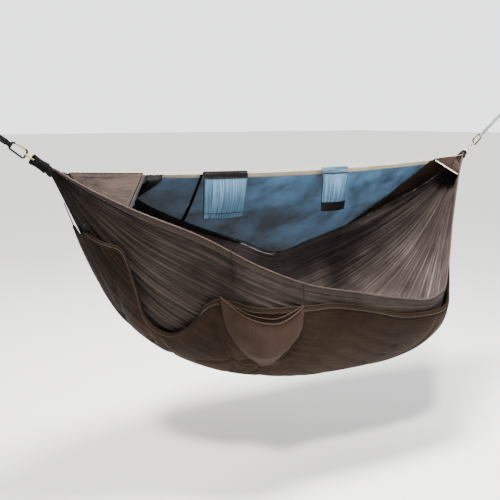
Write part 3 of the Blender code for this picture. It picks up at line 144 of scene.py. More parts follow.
def mixColours(tree, factor, dark, light):
    mix = addNode(tree, "Mix", data_type="RGBA")
    for socket, colour in (("A", dark), ("B", light)):
        target = [plug for plug in mix.inputs if plug.name == socket and plug.type == "RGBA"][0]
        if isinstance(colour, tuple):
            target.default_value = (*colour, 1)
        else:
            link(tree, colour, target)
    link(tree, factor, [plug for plug in mix.inputs if plug.name == "Factor" and plug.type == "VALUE"][0])
    return [plug for plug in mix.outputs if plug.type == "RGBA"][0]


def threads(tree, pitchAcross, pitchAlong):
    # Warp and weft on the piece's own UV map, which is in metres
    uv = addNode(tree, "UVMap", uv_map="cloth")
    waves = []
    for direction, pitch in (("X", pitchAcross), ("Y", pitchAlong)):
        wave = addNode(tree, "TexWave", wave_type="BANDS", bands_direction=direction,
                       Scale=2 * pi / 20 / pitch, Distortion=0.0)
        link(tree, uv.outputs["UV"], wave.inputs["Vector"])
        waves.append(wave.outputs["Fac"])
    return waves


def gathers(tree, count, near, far, least, deepestShade):
    # Creases that fan out of both ends: their height, and painted shade that darkens the colour in their valleys
    shares = [addNode(tree, "Attribute", attribute_name=name).outputs["Fac"] for name in ("acrossShare", "alongShare")]
    spot = addNode(tree, "CombineXYZ")
    for share, scale, plug in zip(shares, (count, 0.032 * count), ("X", "Y")):
        times = addNode(tree, "Math", operation="MULTIPLY")
        link(tree, share, times.inputs[0])
        times.inputs[1].default_value = scale
        link(tree, times.outputs["Value"], spot.inputs[plug])
    noise = addNode(tree, "TexNoise", Scale=1.0, Detail=3.0, Roughness=0.6)
    link(tree, spot.outputs["Vector"], noise.inputs["Vector"])
    off = addNode(tree, "MapRange", From_Min=0.5, From_Max=0.72, clamp=False)
    link(tree, noise.outputs["Fac"], off.inputs["Value"])
    ridge = addNode(tree, "Math", operation="ABSOLUTE", use_clamp=True)
    link(tree, off.outputs["Result"], ridge.inputs[0])
    fromEnd = addNode(tree, "Math", operation="PINGPONG")
    link(tree, shares[1], fromEnd.inputs[0])
    fromEnd.inputs[1].default_value = 0.5
    reach = addNode(tree, "MapRange", From_Min=near, From_Max=far, To_Min=1.0, To_Max=least)
    link(tree, fromEnd.outputs["Value"], reach.inputs["Value"])
    height = addNode(tree, "Math", operation="MULTIPLY")
    link(tree, ridge.outputs["Value"], height.inputs[0])
    link(tree, reach.outputs["Result"], height.inputs[1])
    # Painted shade: the colour gets darker in the valleys between the creases
    valleyShade = addNode(tree, "MapRange", From_Min=0.0, From_Max=0.45, To_Min=deepestShade, To_Max=0.0)
    link(tree, ridge.outputs["Value"], valleyShade.inputs["Value"])
    shade = addNode(tree, "Math", operation="MULTIPLY")
    link(tree, valleyShade.outputs["Result"], shade.inputs[0])
    link(tree, reach.outputs["Result"], shade.inputs[1])
    left = addNode(tree, "Math", operation="SUBTRACT")
    left.inputs[0].default_value = 1.0
    link(tree, shade.outputs["Value"], left.inputs[1])
    return height.outputs["Value"], left.outputs["Value"]


def clothFinish(name, look):
    # Woven nylon: broad change of shade, small creases and the weave itself
    material, tree, shader = startFinish(name, look["rough"], Sheen_Weight=look.get("sheen", 0.25),
                                         Sheen_Roughness=0.4, Specular_IOR_Level=look.get("shine", 0.4))
    place = addNode(tree, "TexCoord")
    broad = addNode(tree, "TexNoise", Scale=look.get("broad", 3.5), Detail=4.0, Roughness=0.6)
    link(tree, place.outputs["Object"], broad.inputs["Vector"])
    ramp = addNode(tree, "MapRange", From_Min=0.3, From_Max=0.7)
    link(tree, broad.outputs["Fac"], ramp.inputs["Value"])
    tone = mixColours(tree, ramp.outputs["Result"], look["dark"], look["light"])
    warp, weft = threads(tree, *look.get("weave", (0.0011, 0.0011)))
    crossed = addNode(tree, "Math", operation="MULTIPLY")
    link(tree, warp, crossed.inputs[0])
    link(tree, weft, crossed.inputs[1])
    shade = addNode(tree, "MapRange", To_Min=1 - look.get("threadShade", 0.12), To_Max=1.0)
    link(tree, crossed.outputs["Value"], shade.inputs["Value"])
    scaled = addNode(tree, "VectorMath", operation="SCALE")
    link(tree, tone, scaled.inputs[0])
    link(tree, shade.outputs["Result"], scaled.inputs["Scale"])
    link(tree, scaled.outputs["Vector"], shader.inputs["Base Color"])
    crease = addNode(tree, "TexNoise", Scale=look.get("creaseScale", 26.0), Detail=5.0, Roughness=0.62,
                     Distortion=1.2)
    link(tree, place.outputs["Object"], crease.inputs["Vector"])
    soft = addNode(tree, "Bump", Strength=look.get("crease", 0.22), Distance=0.006)
    link(tree, crease.outputs["Fac"], soft.inputs["Height"])
    # Gathers add a bump, and painted shade that darkens the base colour in their valleys
    if "gathers" in look:
        height, dark = gathers(tree, *look["gathers"])
        folded = addNode(tree, "Bump", Strength=1.0, Distance=look["gatherDepth"])
        link(tree, height, folded.inputs["Height"])
        link(tree, folded.outputs["Normal"], soft.inputs["Normal"])
        deep = addNode(tree, "VectorMath", operation="SCALE")
        link(tree, scaled.outputs["Vector"], deep.inputs[0])
        link(tree, dark, deep.inputs["Scale"])
        link(tree, deep.outputs["Vector"], shader.inputs["Base Color"])
    fine = addNode(tree, "Bump", Strength=look.get("thread", 0.25), Distance=0.0003)
    link(tree, crossed.outputs["Value"], fine.inputs["Height"])
    link(tree, soft.outputs["Normal"], fine.inputs["Normal"])
    link(tree, fine.outputs["Normal"], shader.inputs["Normal"])
    worn = addNode(tree, "MapRange", To_Min=look["rough"] - 0.08, To_Max=look["rough"] + 0.08)
    link(tree, crease.outputs["Fac"], worn.inputs["Value"])
    link(tree, worn.outputs["Result"], shader.inputs["Roughness"])
    return material


def netFinish(name, look):
    # Insect net: fine threads with air between them
    material, tree, shader = startFinish(name, 0.75, Specular_IOR_Level=0.2)
    place = addNode(tree, "TexCoord")
    broad = addNode(tree, "TexNoise", Scale=5.0, Detail=3.0)
    link(tree, place.outputs["Object"], broad.inputs["Vector"])
    factor = addNode(tree, "MapRange", From_Min=0.36, From_Max=0.64)
    link(tree, broad.outputs["Fac"], factor.inputs["Value"])
    if "streaks" in look:   # Light catches the upright folds of a gathered bag
        uv = addNode(tree, "UVMap", uv_map="cloth")
        thin = addNode(tree, "Mapping", Scale=(look["streaks"], look["streaks"] * 0.04, 1.0))
        link(tree, uv.outputs["UV"], thin.inputs["Vector"])
        folds = addNode(tree, "TexNoise", Scale=1.0, Detail=2.0)
        link(tree, thin.outputs["Vector"], folds.inputs["Vector"])
        link(tree, folds.outputs["Fac"], factor.inputs["Value"])
    tone = mixColours(tree, factor.outputs["Result"], look["dark"], look["light"])
    link(tree, tone, shader.inputs["Base Color"])
    warp, weft = threads(tree, look["mesh"], look["mesh"])
    thread = addNode(tree, "Math", operation="MAXIMUM")
    link(tree, warp, thread.inputs[0])
    link(tree, weft, thread.inputs[1])
    cover = addNode(tree, "MapRange", From_Min=0.55, From_Max=0.95, To_Min=look["thin"], To_Max=look["thick"])
    link(tree, thread.outputs["Value"], cover.inputs["Value"])
    link(tree, cover.outputs["Result"], shader.inputs["Alpha"])
    bump = addNode(tree, "Bump", Strength=0.3, Distance=0.0004)
    link(tree, thread.outputs["Value"], bump.inputs["Height"])
    link(tree, bump.outputs["Normal"], shader.inputs["Normal"])
    return material


def metalFinish(name, look):
    # Anodised metal, a little duller where hands and webbing rub it
    material, tree, shader = startFinish(name, look["rough"], look.get("metal", 1.0), Coat_Weight=0.15)
    place = addNode(tree, "TexCoord")
    rub = addNode(tree, "TexNoise", Scale=90.0, Detail=5.0, Roughness=0.7)
    link(tree, place.outputs["Object"], rub.inputs["Vector"])
    tone = mixColours(tree, rub.outputs["Fac"], look["dark"], look["light"])
    link(tree, tone, shader.inputs["Base Color"])
    rough = addNode(tree, "MapRange", To_Min=look["rough"] - 0.1, To_Max=look["rough"] + 0.12)
    link(tree, rub.outputs["Fac"], rough.inputs["Value"])
    link(tree, rough.outputs["Result"], shader.inputs["Roughness"])
    bump = addNode(tree, "Bump", Strength=0.06, Distance=0.0005)
    link(tree, rub.outputs["Fac"], bump.inputs["Height"])
    link(tree, bump.outputs["Normal"], shader.inputs["Normal"])
    return material


looks = {
    # gathers: count, near, far, least and deepest, which is how dark the painted shade in their valleys gets
    "shellNylon": {"dark": (0.021, 0.0142, 0.0115), "light": (0.064, 0.0485, 0.0415), "rough": 0.55, "sheen": 0.0,
                   "shine": 0.08, "crease": 0.34, "gathers": (75.0, 0.12, 0.46, 0.34, 0.86), "gatherDepth": 0.010},
    # The same cloth from inside, in a lighter colour: painted light that stands in for daylight coming through it
    "shellInsidePaintedLight": {"dark": (0.046, 0.0330, 0.0290), "light": (0.128, 0.1030, 0.0950), "rough": 0.55, "sheen": 0.0,
                    "shine": 0.08, "crease": 0.34, "gathers": (75.0, 0.12, 0.46, 0.34, 0.86), "gatherDepth": 0.010},
    "bandNylon": {"dark": (0.016, 0.0112, 0.0090), "light": (0.035, 0.0255, 0.0212), "rough": 0.55, "sheen": 0.0,
                  "shine": 0.08, "crease": 0.5, "creaseScale": 60.0},
    # Rolled hems: lighter than the shell cloth, a painted highlight along the roll
    "hemNylon": {"dark": (0.038, 0.0255, 0.0205), "light": (0.074, 0.0520, 0.0430), "rough": 0.5, "sheen": 0.0,
                 "shine": 0.15, "creaseScale": 60.0},
    "capNylon": {"dark": (0.008, 0.0038, 0.0026), "light": (0.031, 0.0178, 0.0130), "rough": 0.60, "sheen": 0.0,
                 "shine": 0.12, "crease": 1.0, "creaseScale": 9.0, "broad": 8.0},
    "pocketNylon": {"dark": (0.018, 0.0105, 0.0076), "light": (0.040, 0.0245, 0.0180), "rough": 0.60, "sheen": 0.0,
                    "shine": 0.05, "crease": 0.45, "creaseScale": 18.0},
    "quiltNylon": {"dark": (0.0105, 0.0059, 0.0034), "light": (0.024, 0.0136, 0.0075), "rough": 0.62, "sheen": 0.0,
                   "shine": 0.04, "crease": 0.38, "creaseScale": 14.0},
    # The quilt's shell, with gathers whose valleys get painted shade
    "quiltShellNylon": {"dark": (0.0105, 0.0059, 0.0034), "light": (0.024, 0.0136, 0.0075), "rough": 0.62,
                        "sheen": 0.0, "shine": 0.04, "crease": 0.38, "creaseScale": 14.0,
                        "gathers": (26.0, 0.06, 0.26, 0.22, 0.75), "gatherDepth": 0.012},
    "paleTape": {"dark": (0.44, 0.39, 0.27), "light": (0.66, 0.60, 0.44), "rough": 0.75, "sheen": 0.05,
                 "weave": (0.002, 0.0016)},
    "blackTrim": {"dark": (0.003, 0.0028, 0.003), "light": (0.0095, 0.0085, 0.009), "rough": 0.76, "sheen": 0.0,
                  "shine": 0.07, "weave": (0.0014, 0.0014), "thread": 0.5},
    "bundleNet": {"dark": (0.004, 0.0038, 0.0045), "light": (0.014, 0.0130, 0.014), "rough": 0.74, "sheen": 0.0, "shine": 0.08,
                  "weave": (0.0016, 0.0016), "thread": 0.6, "crease": 0.5, "creaseScale": 34.0},
    "creamCord": {"dark": (0.52, 0.45, 0.28), "light": (0.76, 0.69, 0.47), "rough": 0.6, "weave": (0.0011, 0.0018),
                  "thread": 0.7, "threadShade": 0.4},
    "yellowCord": {"dark": (0.36, 0.40, 0.05), "light": (0.56, 0.60, 0.12), "rough": 0.5,
                   "weave": (0.0008, 0.0014), "thread": 0.6, "threadShade": 0.3, "creaseScale": 300.0},
    "paleRope": {"dark": (0.36, 0.33, 0.27), "light": (0.56, 0.52, 0.44), "rough": 0.62,
                 "weave": (0.0008, 0.0014), "creaseScale": 300.0},
    "darkRope": {"dark": (0.05, 0.045, 0.04), "light": (0.10, 0.09, 0.08), "rough": 0.62,
                 "weave": (0.0008, 0.0014), "creaseScale": 300.0},
    "blackWebbing": {"dark": (0.0025, 0.0025, 0.0030), "light": (0.0075, 0.0075, 0.0085), "rough": 0.78,
                     "sheen": 0.0, "shine": 0.05, "weave": (0.0021, 0.0026), "thread": 0.9, "threadShade": 0.45, "crease": 0.1},
    "greyWebbing": {"dark": (0.22, 0.23, 0.25), "light": (0.35, 0.36, 0.38), "rough": 0.66, "sheen": 0.05,
                    "weave": (0.0021, 0.0026), "thread": 0.9, "threadShade": 0.35, "crease": 0.1},
    "paleThread": {"dark": (0.13, 0.105, 0.082), "light": (0.19, 0.155, 0.125), "rough": 0.5},
    "darkThread": {"dark": (0.03, 0.026, 0.024), "light": (0.05, 0.045, 0.04), "rough": 0.5},
    "zipBlack": {"dark": (0.004, 0.004, 0.004), "light": (0.012, 0.011, 0.012), "rough": 0.6, "sheen": 0.0, "shine": 0.10},
    "lockPlastic": {"dark": (0.004, 0.004, 0.004), "light": (0.009, 0.009, 0.009), "rough": 0.62, "sheen": 0.0,
                    "shine": 0.08,
                    "creaseScale": 400.0, "crease": 0.08, "thread": 0.0, "threadShade": 0.0},
}
netLooks = {
    "farNet": {"dark": (0.006, 0.030, 0.066), "light": (0.078, 0.220, 0.410), "mesh": 0.0022, "thin": 0.95,
               "thick": 1.0},
    "bagNet": {"dark": (0.022, 0.062, 0.108), "light": (0.120, 0.235, 0.350), "mesh": 0.0030, "thin": 0.30,
               "thick": 0.88, "streaks": 130.0},
}
metalLooks = {
    "blackAnodised": {"dark": (0.010, 0.010, 0.011), "light": (0.030, 0.030, 0.033), "rough": 0.34},
    "goldAnodised": {"dark": (0.44, 0.42, 0.10), "light": (0.64, 0.62, 0.20), "rough": 0.30},
    "rivetSteel": {"dark": (0.42, 0.42, 0.43), "light": (0.62, 0.62, 0.63), "rough": 0.30},
}
finishes = {}
for finishName, look in looks.items():
    finishes[finishName] = clothFinish(finishName, look)
for finishName, look in netLooks.items():
    finishes[finishName] = netFinish(finishName, look)
for finishName, look in metalLooks.items():
    finishes[finishName] = metalFinish(finishName, look)
print("finishes made:", len(finishes))


# Mesh helpers

def skin(name, rings, width=0.1, length=0.1, closed=False, caps=False):
    # Quads over a grid of points, rings by stations, with a UV map in metres
    rings = np.asarray(rings, float)
    rows, count = rings.shape[:2]
    points = rings.reshape(-1, 3).tolist()
    across = count if closed else count - 1
    faces, corners = [], []
    for row in range(rows - 1):
        for k in range(across):
            after = (k + 1) % count
            faces.append((row * count + k, row * count + after, (row + 1) * count + after, (row + 1) * count + k))
            left, right = k / across * width, (k + 1) / across * width
            low, high = row / (rows - 1) * length, (row + 1) / (rows - 1) * length
            corners += [(left, low), (right, low), (right, high), (left, high)]
    if caps:
        for row, turn in ((0, -1), (rows - 1, 1)):
            points.append(rings[row].mean(axis=0).tolist())
            for k in range(across):
                pair = (row * count + k, row * count + (k + 1) % count)
                faces.append((*pair[::turn], len(points) - 1))
                corners += [(0, 0), (0.001, 0), (0, 0.001)]
    mesh = bpy.data.meshes.new(name)
    mesh.from_pydata(points, [], faces)
    cloth = mesh.uv_layers.new(name="cloth")
    cloth.data.foreach_set("uv", np.array(corners, np.float32).ravel())
    item = bpy.data.objects.new(name, mesh)
    bpy.context.scene.collection.objects.link(item)
    if caps or closed:
        shape = bmesh.new()
        shape.from_mesh(mesh)
        bmesh.ops.recalc_face_normals(shape, faces=shape.faces)
        shape.to_mesh(mesh)
        shape.free()
    mesh.shade_smooth()
    return item


def dress(item, finish, body="hammock", replaced=(), wall=0.0, offset=0.0, sharp=None, inside=None):
    # Last steps of every piece: finish, wall, body and the solids that it stands for
    item.data.materials.clear()
    item.data.materials.append(finishes[finish])
    if sharp:
        item.data.set_sharp_from_angle(angle=radians(sharp))
    if wall:
        solid = item.modifiers.new("wall", "SOLIDIFY")
        solid.thickness = wall
        solid.offset = offset
        solid.use_even_offset = False
        if inside:
            item.data.materials.append(finishes[inside])
            solid.material_offset = 1
    if body:
        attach(item, body)
    if replaced:
        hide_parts(*replaced)
    return item


def unit(vectors):
    vectors = np.asarray(vectors, float)
    return vectors / np.maximum(np.linalg.norm(vectors, axis=-1, keepdims=True), 1e-12)


def frames(path, up=None):
    # Directions along and square to a path, carried along it without twist
    path = np.asarray(path, float)
    ahead = unit(np.gradient(path, axis=0))
    side = np.empty_like(path)
    start = np.cross(ahead[0], (0, 0, 1) if up is None else up)
    if np.linalg.norm(start) < 1e-3:
        start = np.cross(ahead[0], (1, 0, 0))
    side[0] = start
    for k in range(1, len(path)):
        side[k] = side[k - 1] - side[k - 1].dot(ahead[k]) * ahead[k]
    side = unit(side)
    return ahead, side, np.cross(side, ahead)


def tube(name, path, radius, sides=12, length=None):
    # radius is a number, one for each station, or one for each station and side
    path = np.asarray(path, float)
    _, side, other = frames(path)
    turn = np.arange(sides) * 2 * pi / sides
    radius = np.broadcast_to(np.asarray(radius, float).reshape(-1, 1) if np.ndim(radius) == 1 else radius,
                             (len(path), sides))
    rings = (path[:, None] + radius[..., None] * (np.cos(turn)[None, :, None] * side[:, None]
                                                  + np.sin(turn)[None, :, None] * other[:, None]))
    run = np.linalg.norm(np.diff(path, axis=0), axis=1).sum()
    return skin(name, rings, 2 * pi * float(radius.mean()), length or run, closed=True, caps=True)


def resampled(path, count):
    path = np.asarray(path, float)
    steps = np.concatenate([[0], np.cumsum(np.linalg.norm(np.diff(path, axis=0), axis=1))])
    spots = np.linspace(0, steps[-1], count)
    return np.stack([np.interp(spots, steps, path[:, axis]) for axis in range(3)], axis=1)


def curved(points, steps):
    # Smooth path through given points
    points = np.asarray(points, float)
    ends = np.concatenate([[2 * points[0] - points[1]], points, [2 * points[-1] - points[-2]]])
    path = []
    for k in range(1, len(ends) - 2):
        before, start, stop, after = ends[k - 1:k + 3]
        for step in range(steps):
            t = step / steps
            path.append(0.5 * (2 * start + (stop - before) * t + (2 * before - 5 * start + 4 * stop - after) * t ** 2
                               + (3 * start - before - 3 * stop + after) * t ** 3))
    path.append(points[-1])
    return np.array(path)


def wander(values, seed, scale=1.0):
    # Smooth numbers between -1 and 1 that never repeat, for folds and creases
    values = np.asarray(values, float) * scale + 17.31 * seed
    return (np.sin(values) + np.sin(2.17 * values + 1.3 * seed) + np.sin(3.71 * values + 0.7)
            + np.sin(5.93 * values + 2.1 * seed)) / 4


def bell(distance, width):
    return np.exp(-(np.asarray(distance) / width) ** 2)


def ease(value):
    value = np.clip(value, 0, 1)
    return value * value * (3 - 2 * value)


# Geometry Nodes, built once and used for every row of stitches and every laid rope

def newTree(name, inputs):
    tree = bpy.data.node_groups.new(name, "GeometryNodeTree")
    kinds = {"Geometry": "NodeSocketGeometry", "Material": "NodeSocketMaterial"}
    for socket, value in inputs:
        kind = kinds.get(socket, "NodeSocketInt" if isinstance(value, int) else "NodeSocketFloat")
        plug = tree.interface.new_socket(socket, in_out="INPUT", socket_type=kind)
        if value is not None:
            plug.default_value = value
    tree.interface.new_socket("Geometry", in_out="OUTPUT", socket_type="NodeSocketGeometry")
    return tree, tree.nodes.new("NodeGroupInput"), tree.nodes.new("NodeGroupOutput")


def geoNode(tree, kind, **values):
    node = tree.nodes.new(kind)
    for name, value in values.items():
        if name[0].isupper():
            node.inputs[name.replace("_", " ")].default_value = value
        else:
            setattr(node, name, value)
    return node


def beadRowTree():
    # Small rounded beads at an even pitch along each line: stitches and zip teeth
    tree, given, out = newTree("beadRow", (("Geometry", None), ("Pitch", 0.004), ("Length", 0.003),
                                           ("Radius", 0.0004), ("Material", None)))
    line = geoNode(tree, "GeometryNodeMeshToCurve")
    link(tree, given.outputs["Geometry"], line.inputs["Mesh"])
    spaced = geoNode(tree, "GeometryNodeResampleCurve", mode="LENGTH")
    link(tree, line.outputs["Curve"], spaced.inputs["Curve"])
    link(tree, given.outputs["Pitch"], spaced.inputs["Length"])
    bead = geoNode(tree, "GeometryNodeMeshUVSphere", Segments=6, Rings=4, Radius=0.5)
    tangent = geoNode(tree, "GeometryNodeInputTangent")
    turn = geoNode(tree, "FunctionNodeAlignRotationToVector", axis="Z")
    link(tree, tangent.outputs["Tangent"], turn.inputs["Vector"])
    size = geoNode(tree, "ShaderNodeCombineXYZ")
    double = geoNode(tree, "ShaderNodeMath", operation="MULTIPLY")
    double.inputs[1].default_value = 2.0
    link(tree, given.outputs["Radius"], double.inputs[0])
    link(tree, double.outputs["Value"], size.inputs["X"])
    link(tree, double.outputs["Value"], size.inputs["Y"])
    link(tree, given.outputs["Length"], size.inputs["Z"])
    placed = geoNode(tree, "GeometryNodeInstanceOnPoints")
    link(tree, spaced.outputs["Curve"], placed.inputs["Points"])
    link(tree, bead.outputs["Mesh"], placed.inputs["Instance"])
    link(tree, turn.outputs["Rotation"], placed.inputs["Rotation"])
    link(tree, size.outputs["Vector"], placed.inputs["Scale"])
    real = geoNode(tree, "GeometryNodeRealizeInstances")
    link(tree, placed.outputs["Instances"], real.inputs["Geometry"])
    painted = geoNode(tree, "GeometryNodeSetMaterial")
    link(tree, real.outputs["Geometry"], painted.inputs["Geometry"])
    link(tree, given.outputs["Material"], painted.inputs["Material"])
    link(tree, painted.outputs["Geometry"], out.inputs["Geometry"])
    return tree


def laidRopeTree():
    # Strands that wind round a line, as in a laid rope
    tree, given, out = newTree("laidRope", (("Geometry", None), ("Strands", 3), ("Pitch", 0.02), ("Lay Radius", 0.0012),
                                            ("Strand Radius", 0.0013), ("Phase", 0.0), ("Material", None)))
    line = geoNode(tree, "GeometryNodeMeshToCurve")
    link(tree, given.outputs["Geometry"], line.inputs["Mesh"])
    step = geoNode(tree, "ShaderNodeMath", operation="DIVIDE")
    link(tree, given.outputs["Pitch"], step.inputs[0])
    step.inputs[1].default_value = 14.0
    spaced = geoNode(tree, "GeometryNodeResampleCurve", mode="LENGTH")
    link(tree, line.outputs["Curve"], spaced.inputs["Curve"])
    link(tree, step.outputs["Value"], spaced.inputs["Length"])
    copies = geoNode(tree, "GeometryNodeDuplicateElements", domain="SPLINE")
    link(tree, spaced.outputs["Curve"], copies.inputs["Geometry"])
    link(tree, given.outputs["Strands"], copies.inputs["Amount"])
    spot = geoNode(tree, "GeometryNodeSplineParameter")
    turns = geoNode(tree, "ShaderNodeMath", operation="DIVIDE")
    link(tree, spot.outputs["Length"], turns.inputs[0])
    link(tree, given.outputs["Pitch"], turns.inputs[1])
    part = geoNode(tree, "ShaderNodeMath", operation="DIVIDE")
    link(tree, copies.outputs["Duplicate Index"], part.inputs[0])
    link(tree, given.outputs["Strands"], part.inputs[1])
    both = geoNode(tree, "ShaderNodeMath", operation="ADD")
    link(tree, turns.outputs["Value"], both.inputs[0])
    link(tree, part.outputs["Value"], both.inputs[1])
    phased = geoNode(tree, "ShaderNodeMath", operation="ADD")
    link(tree, both.outputs["Value"], phased.inputs[0])
    link(tree, given.outputs["Phase"], phased.inputs[1])
    angle = geoNode(tree, "ShaderNodeMath", operation="MULTIPLY")
    link(tree, phased.outputs["Value"], angle.inputs[0])
    angle.inputs[1].default_value = 2 * pi
    tangent = geoNode(tree, "GeometryNodeInputTangent")
    normal = geoNode(tree, "GeometryNodeInputNormal")
    turned = geoNode(tree, "ShaderNodeVectorRotate", rotation_type="AXIS_ANGLE")
    link(tree, normal.outputs["Normal"], turned.inputs["Vector"])
    link(tree, tangent.outputs["Tangent"], turned.inputs["Axis"])
    link(tree, angle.outputs["Value"], turned.inputs["Angle"])
    out1 = geoNode(tree, "ShaderNodeVectorMath", operation="SCALE")
    link(tree, turned.outputs["Vector"], out1.inputs[0])
    link(tree, given.outputs["Lay Radius"], out1.inputs["Scale"])
    moved = geoNode(tree, "GeometryNodeSetPosition")
    link(tree, copies.outputs["Geometry"], moved.inputs["Geometry"])
    link(tree, out1.outputs["Vector"], moved.inputs["Offset"])
    ring = geoNode(tree, "GeometryNodeCurvePrimitiveCircle", Resolution=8)
    link(tree, given.outputs["Strand Radius"], ring.inputs["Radius"])
    solid = geoNode(tree, "GeometryNodeCurveToMesh", Fill_Caps=True)
    link(tree, moved.outputs["Geometry"], solid.inputs["Curve"])
    link(tree, ring.outputs["Curve"], solid.inputs["Profile Curve"])
    real = geoNode(tree, "GeometryNodeRealizeInstances")
    link(tree, solid.outputs["Mesh"], real.inputs["Geometry"])
    painted = geoNode(tree, "GeometryNodeSetMaterial")
    link(tree, real.outputs["Geometry"], painted.inputs["Geometry"])
    link(tree, given.outputs["Material"], painted.inputs["Material"])
    link(tree, painted.outputs["Geometry"], out.inputs["Geometry"])
    return tree


def pleatTree():
    # Soft pleats across a sheet: each point sinks along its own stored direction
    tree, given, out = newTree("softPleats", (("Geometry", None), ("Folds", 26.0), ("Uneven", 0.35), ("Seed", 3.0),
                                              ("Material", None)))
    share = geoNode(tree, "GeometryNodeInputNamedAttribute", data_type="FLOAT", Name="acrossShare")
    run = geoNode(tree, "GeometryNodeInputNamedAttribute", data_type="FLOAT", Name="alongShare")
    depth = geoNode(tree, "GeometryNodeInputNamedAttribute", data_type="FLOAT", Name="pleatDepth")
    inward = geoNode(tree, "GeometryNodeInputNamedAttribute", data_type="FLOAT_VECTOR", Name="inward")
    scaled = geoNode(tree, "ShaderNodeMath", operation="MULTIPLY")
    link(tree, share.outputs["Attribute"], scaled.inputs[0])
    link(tree, given.outputs["Folds"], scaled.inputs[1])
    slow = geoNode(tree, "ShaderNodeMath", operation="MULTIPLY")
    link(tree, run.outputs["Attribute"], slow.inputs[0])
    slow.inputs[1].default_value = 3.0
    spot = geoNode(tree, "ShaderNodeCombineXYZ")
    link(tree, scaled.outputs["Value"], spot.inputs["X"])
    link(tree, slow.outputs["Value"], spot.inputs["Y"])
    link(tree, given.outputs["Seed"], spot.inputs["Z"])
    noise = geoNode(tree, "ShaderNodeTexNoise", Scale=0.55, Detail=2.0)
    link(tree, spot.outputs["Vector"], noise.inputs["Vector"])
    shift = geoNode(tree, "ShaderNodeMapRange", To_Min=-1.0, To_Max=1.0)
    link(tree, noise.outputs["Fac"], shift.inputs["Value"])
    pushed = geoNode(tree, "ShaderNodeMath", operation="MULTIPLY_ADD")
    link(tree, shift.outputs["Result"], pushed.inputs[0])
    link(tree, given.outputs["Uneven"], pushed.inputs[1])
    link(tree, scaled.outputs["Value"], pushed.inputs[2])
    angle = geoNode(tree, "ShaderNodeMath", operation="MULTIPLY")
    link(tree, pushed.outputs["Value"], angle.inputs[0])
    angle.inputs[1].default_value = 2 * pi
    wave = geoNode(tree, "ShaderNodeMath", operation="COSINE")
    link(tree, angle.outputs["Value"], wave.inputs[0])
    rise = geoNode(tree, "ShaderNodeMapRange", From_Min=1.0, From_Max=-1.0)
    link(tree, wave.outputs["Value"], rise.inputs["Value"])
    uneven = geoNode(tree, "ShaderNodeMapRange", From_Min=0.25, From_Max=0.75, To_Min=0.35, To_Max=1.0)
    link(tree, noise.outputs["Fac"], uneven.inputs["Value"])
    low = geoNode(tree, "ShaderNodeMath", operation="MULTIPLY")
    link(tree, rise.outputs["Result"], low.inputs[0])
    link(tree, uneven.outputs["Result"], low.inputs[1])
    sunk = geoNode(tree, "ShaderNodeMath", operation="MULTIPLY")
    link(tree, low.outputs["Value"], sunk.inputs[0])
    link(tree, depth.outputs["Attribute"], sunk.inputs[1])
    move = geoNode(tree, "ShaderNodeVectorMath", operation="SCALE")
    link(tree, inward.outputs["Attribute"], move.inputs[0])
    link(tree, sunk.outputs["Value"], move.inputs["Scale"])
    moved = geoNode(tree, "GeometryNodeSetPosition")
    link(tree, given.outputs["Geometry"], moved.inputs["Geometry"])
    link(tree, move.outputs["Vector"], moved.inputs["Offset"])
    real = geoNode(tree, "GeometryNodeRealizeInstances")
    link(tree, moved.outputs["Geometry"], real.inputs["Geometry"])
    painted = geoNode(tree, "GeometryNodeSetMaterial")
    link(tree, real.outputs["Geometry"], painted.inputs["Geometry"])
    link(tree, given.outputs["Material"], painted.inputs["Material"])
    link(tree, painted.outputs["Geometry"], out.inputs["Geometry"])
    return tree


trees = {"beadRow": beadRowTree(), "laidRope": laidRopeTree(), "softPleats": pleatTree()}


def grow(name, source, treeName, finish, **settings):
    # Runs a tree on a source object and keeps the result as a plain mesh
    tree = trees[treeName]
    modifier = source.modifiers.new(treeName, "NODES")
    modifier.node_group = tree
    for plug in tree.interface.items_tree:
        if plug.in_out == "INPUT" and plug.name.replace(" ", "") in settings:
            modifier[plug.identifier] = settings[plug.name.replace(" ", "")]
        elif plug.in_out == "INPUT" and plug.name == "Material":
            modifier[plug.identifier] = finishes[finish]
    bpy.context.view_layer.update()
    mesh = bpy.data.meshes.new_from_object(source.evaluated_get(bpy.context.evaluated_depsgraph_get()))
    mesh.name = name
    source.modifiers.remove(modifier)
    bpy.data.objects.remove(source, do_unlink=True)
    item = bpy.data.objects.new(name, mesh)
    bpy.context.scene.collection.objects.link(item)
    mesh.shade_smooth()
    if "cloth" not in mesh.uv_layers:
        mesh.uv_layers.new(name="cloth")
    return item


def lineObject(name, lines):
    points, edges = [], []
    for line in lines:
        start = len(points)
        points += [tuple(point) for point in np.asarray(line, float).tolist()]
        edges += [(start + k, start + k + 1) for k in range(len(line) - 1)]
    mesh = bpy.data.meshes.new(name)
    mesh.from_pydata(points, edges, [])
    item = bpy.data.objects.new(name, mesh)
    bpy.context.scene.collection.objects.link(item)
    return item


def stitches(name, lines, finish="darkThread", body="hammock", pitch=0.005, length=0.0036, radius=0.0005):
    item = grow(name, lineObject(name + "Line", lines), "beadRow", finish, Pitch=pitch, Length=length, Radius=radius)
    return dress(item, finish, body)


def rope(name, path, finish, strands=3, pitch=0.016, layRadius=0.0012, strandRadius=0.0014, phase=0.0):
    return grow(name, lineObject(name + "Line", [path]), "laidRope", finish, Strands=strands, Pitch=pitch,
                LayRadius=layRadius, StrandRadius=strandRadius, Phase=phase)


# The hammock's surface: s runs from the foot gather to the head gather, and v from the
# near hem round the bottom to the far hem. Both are shares.

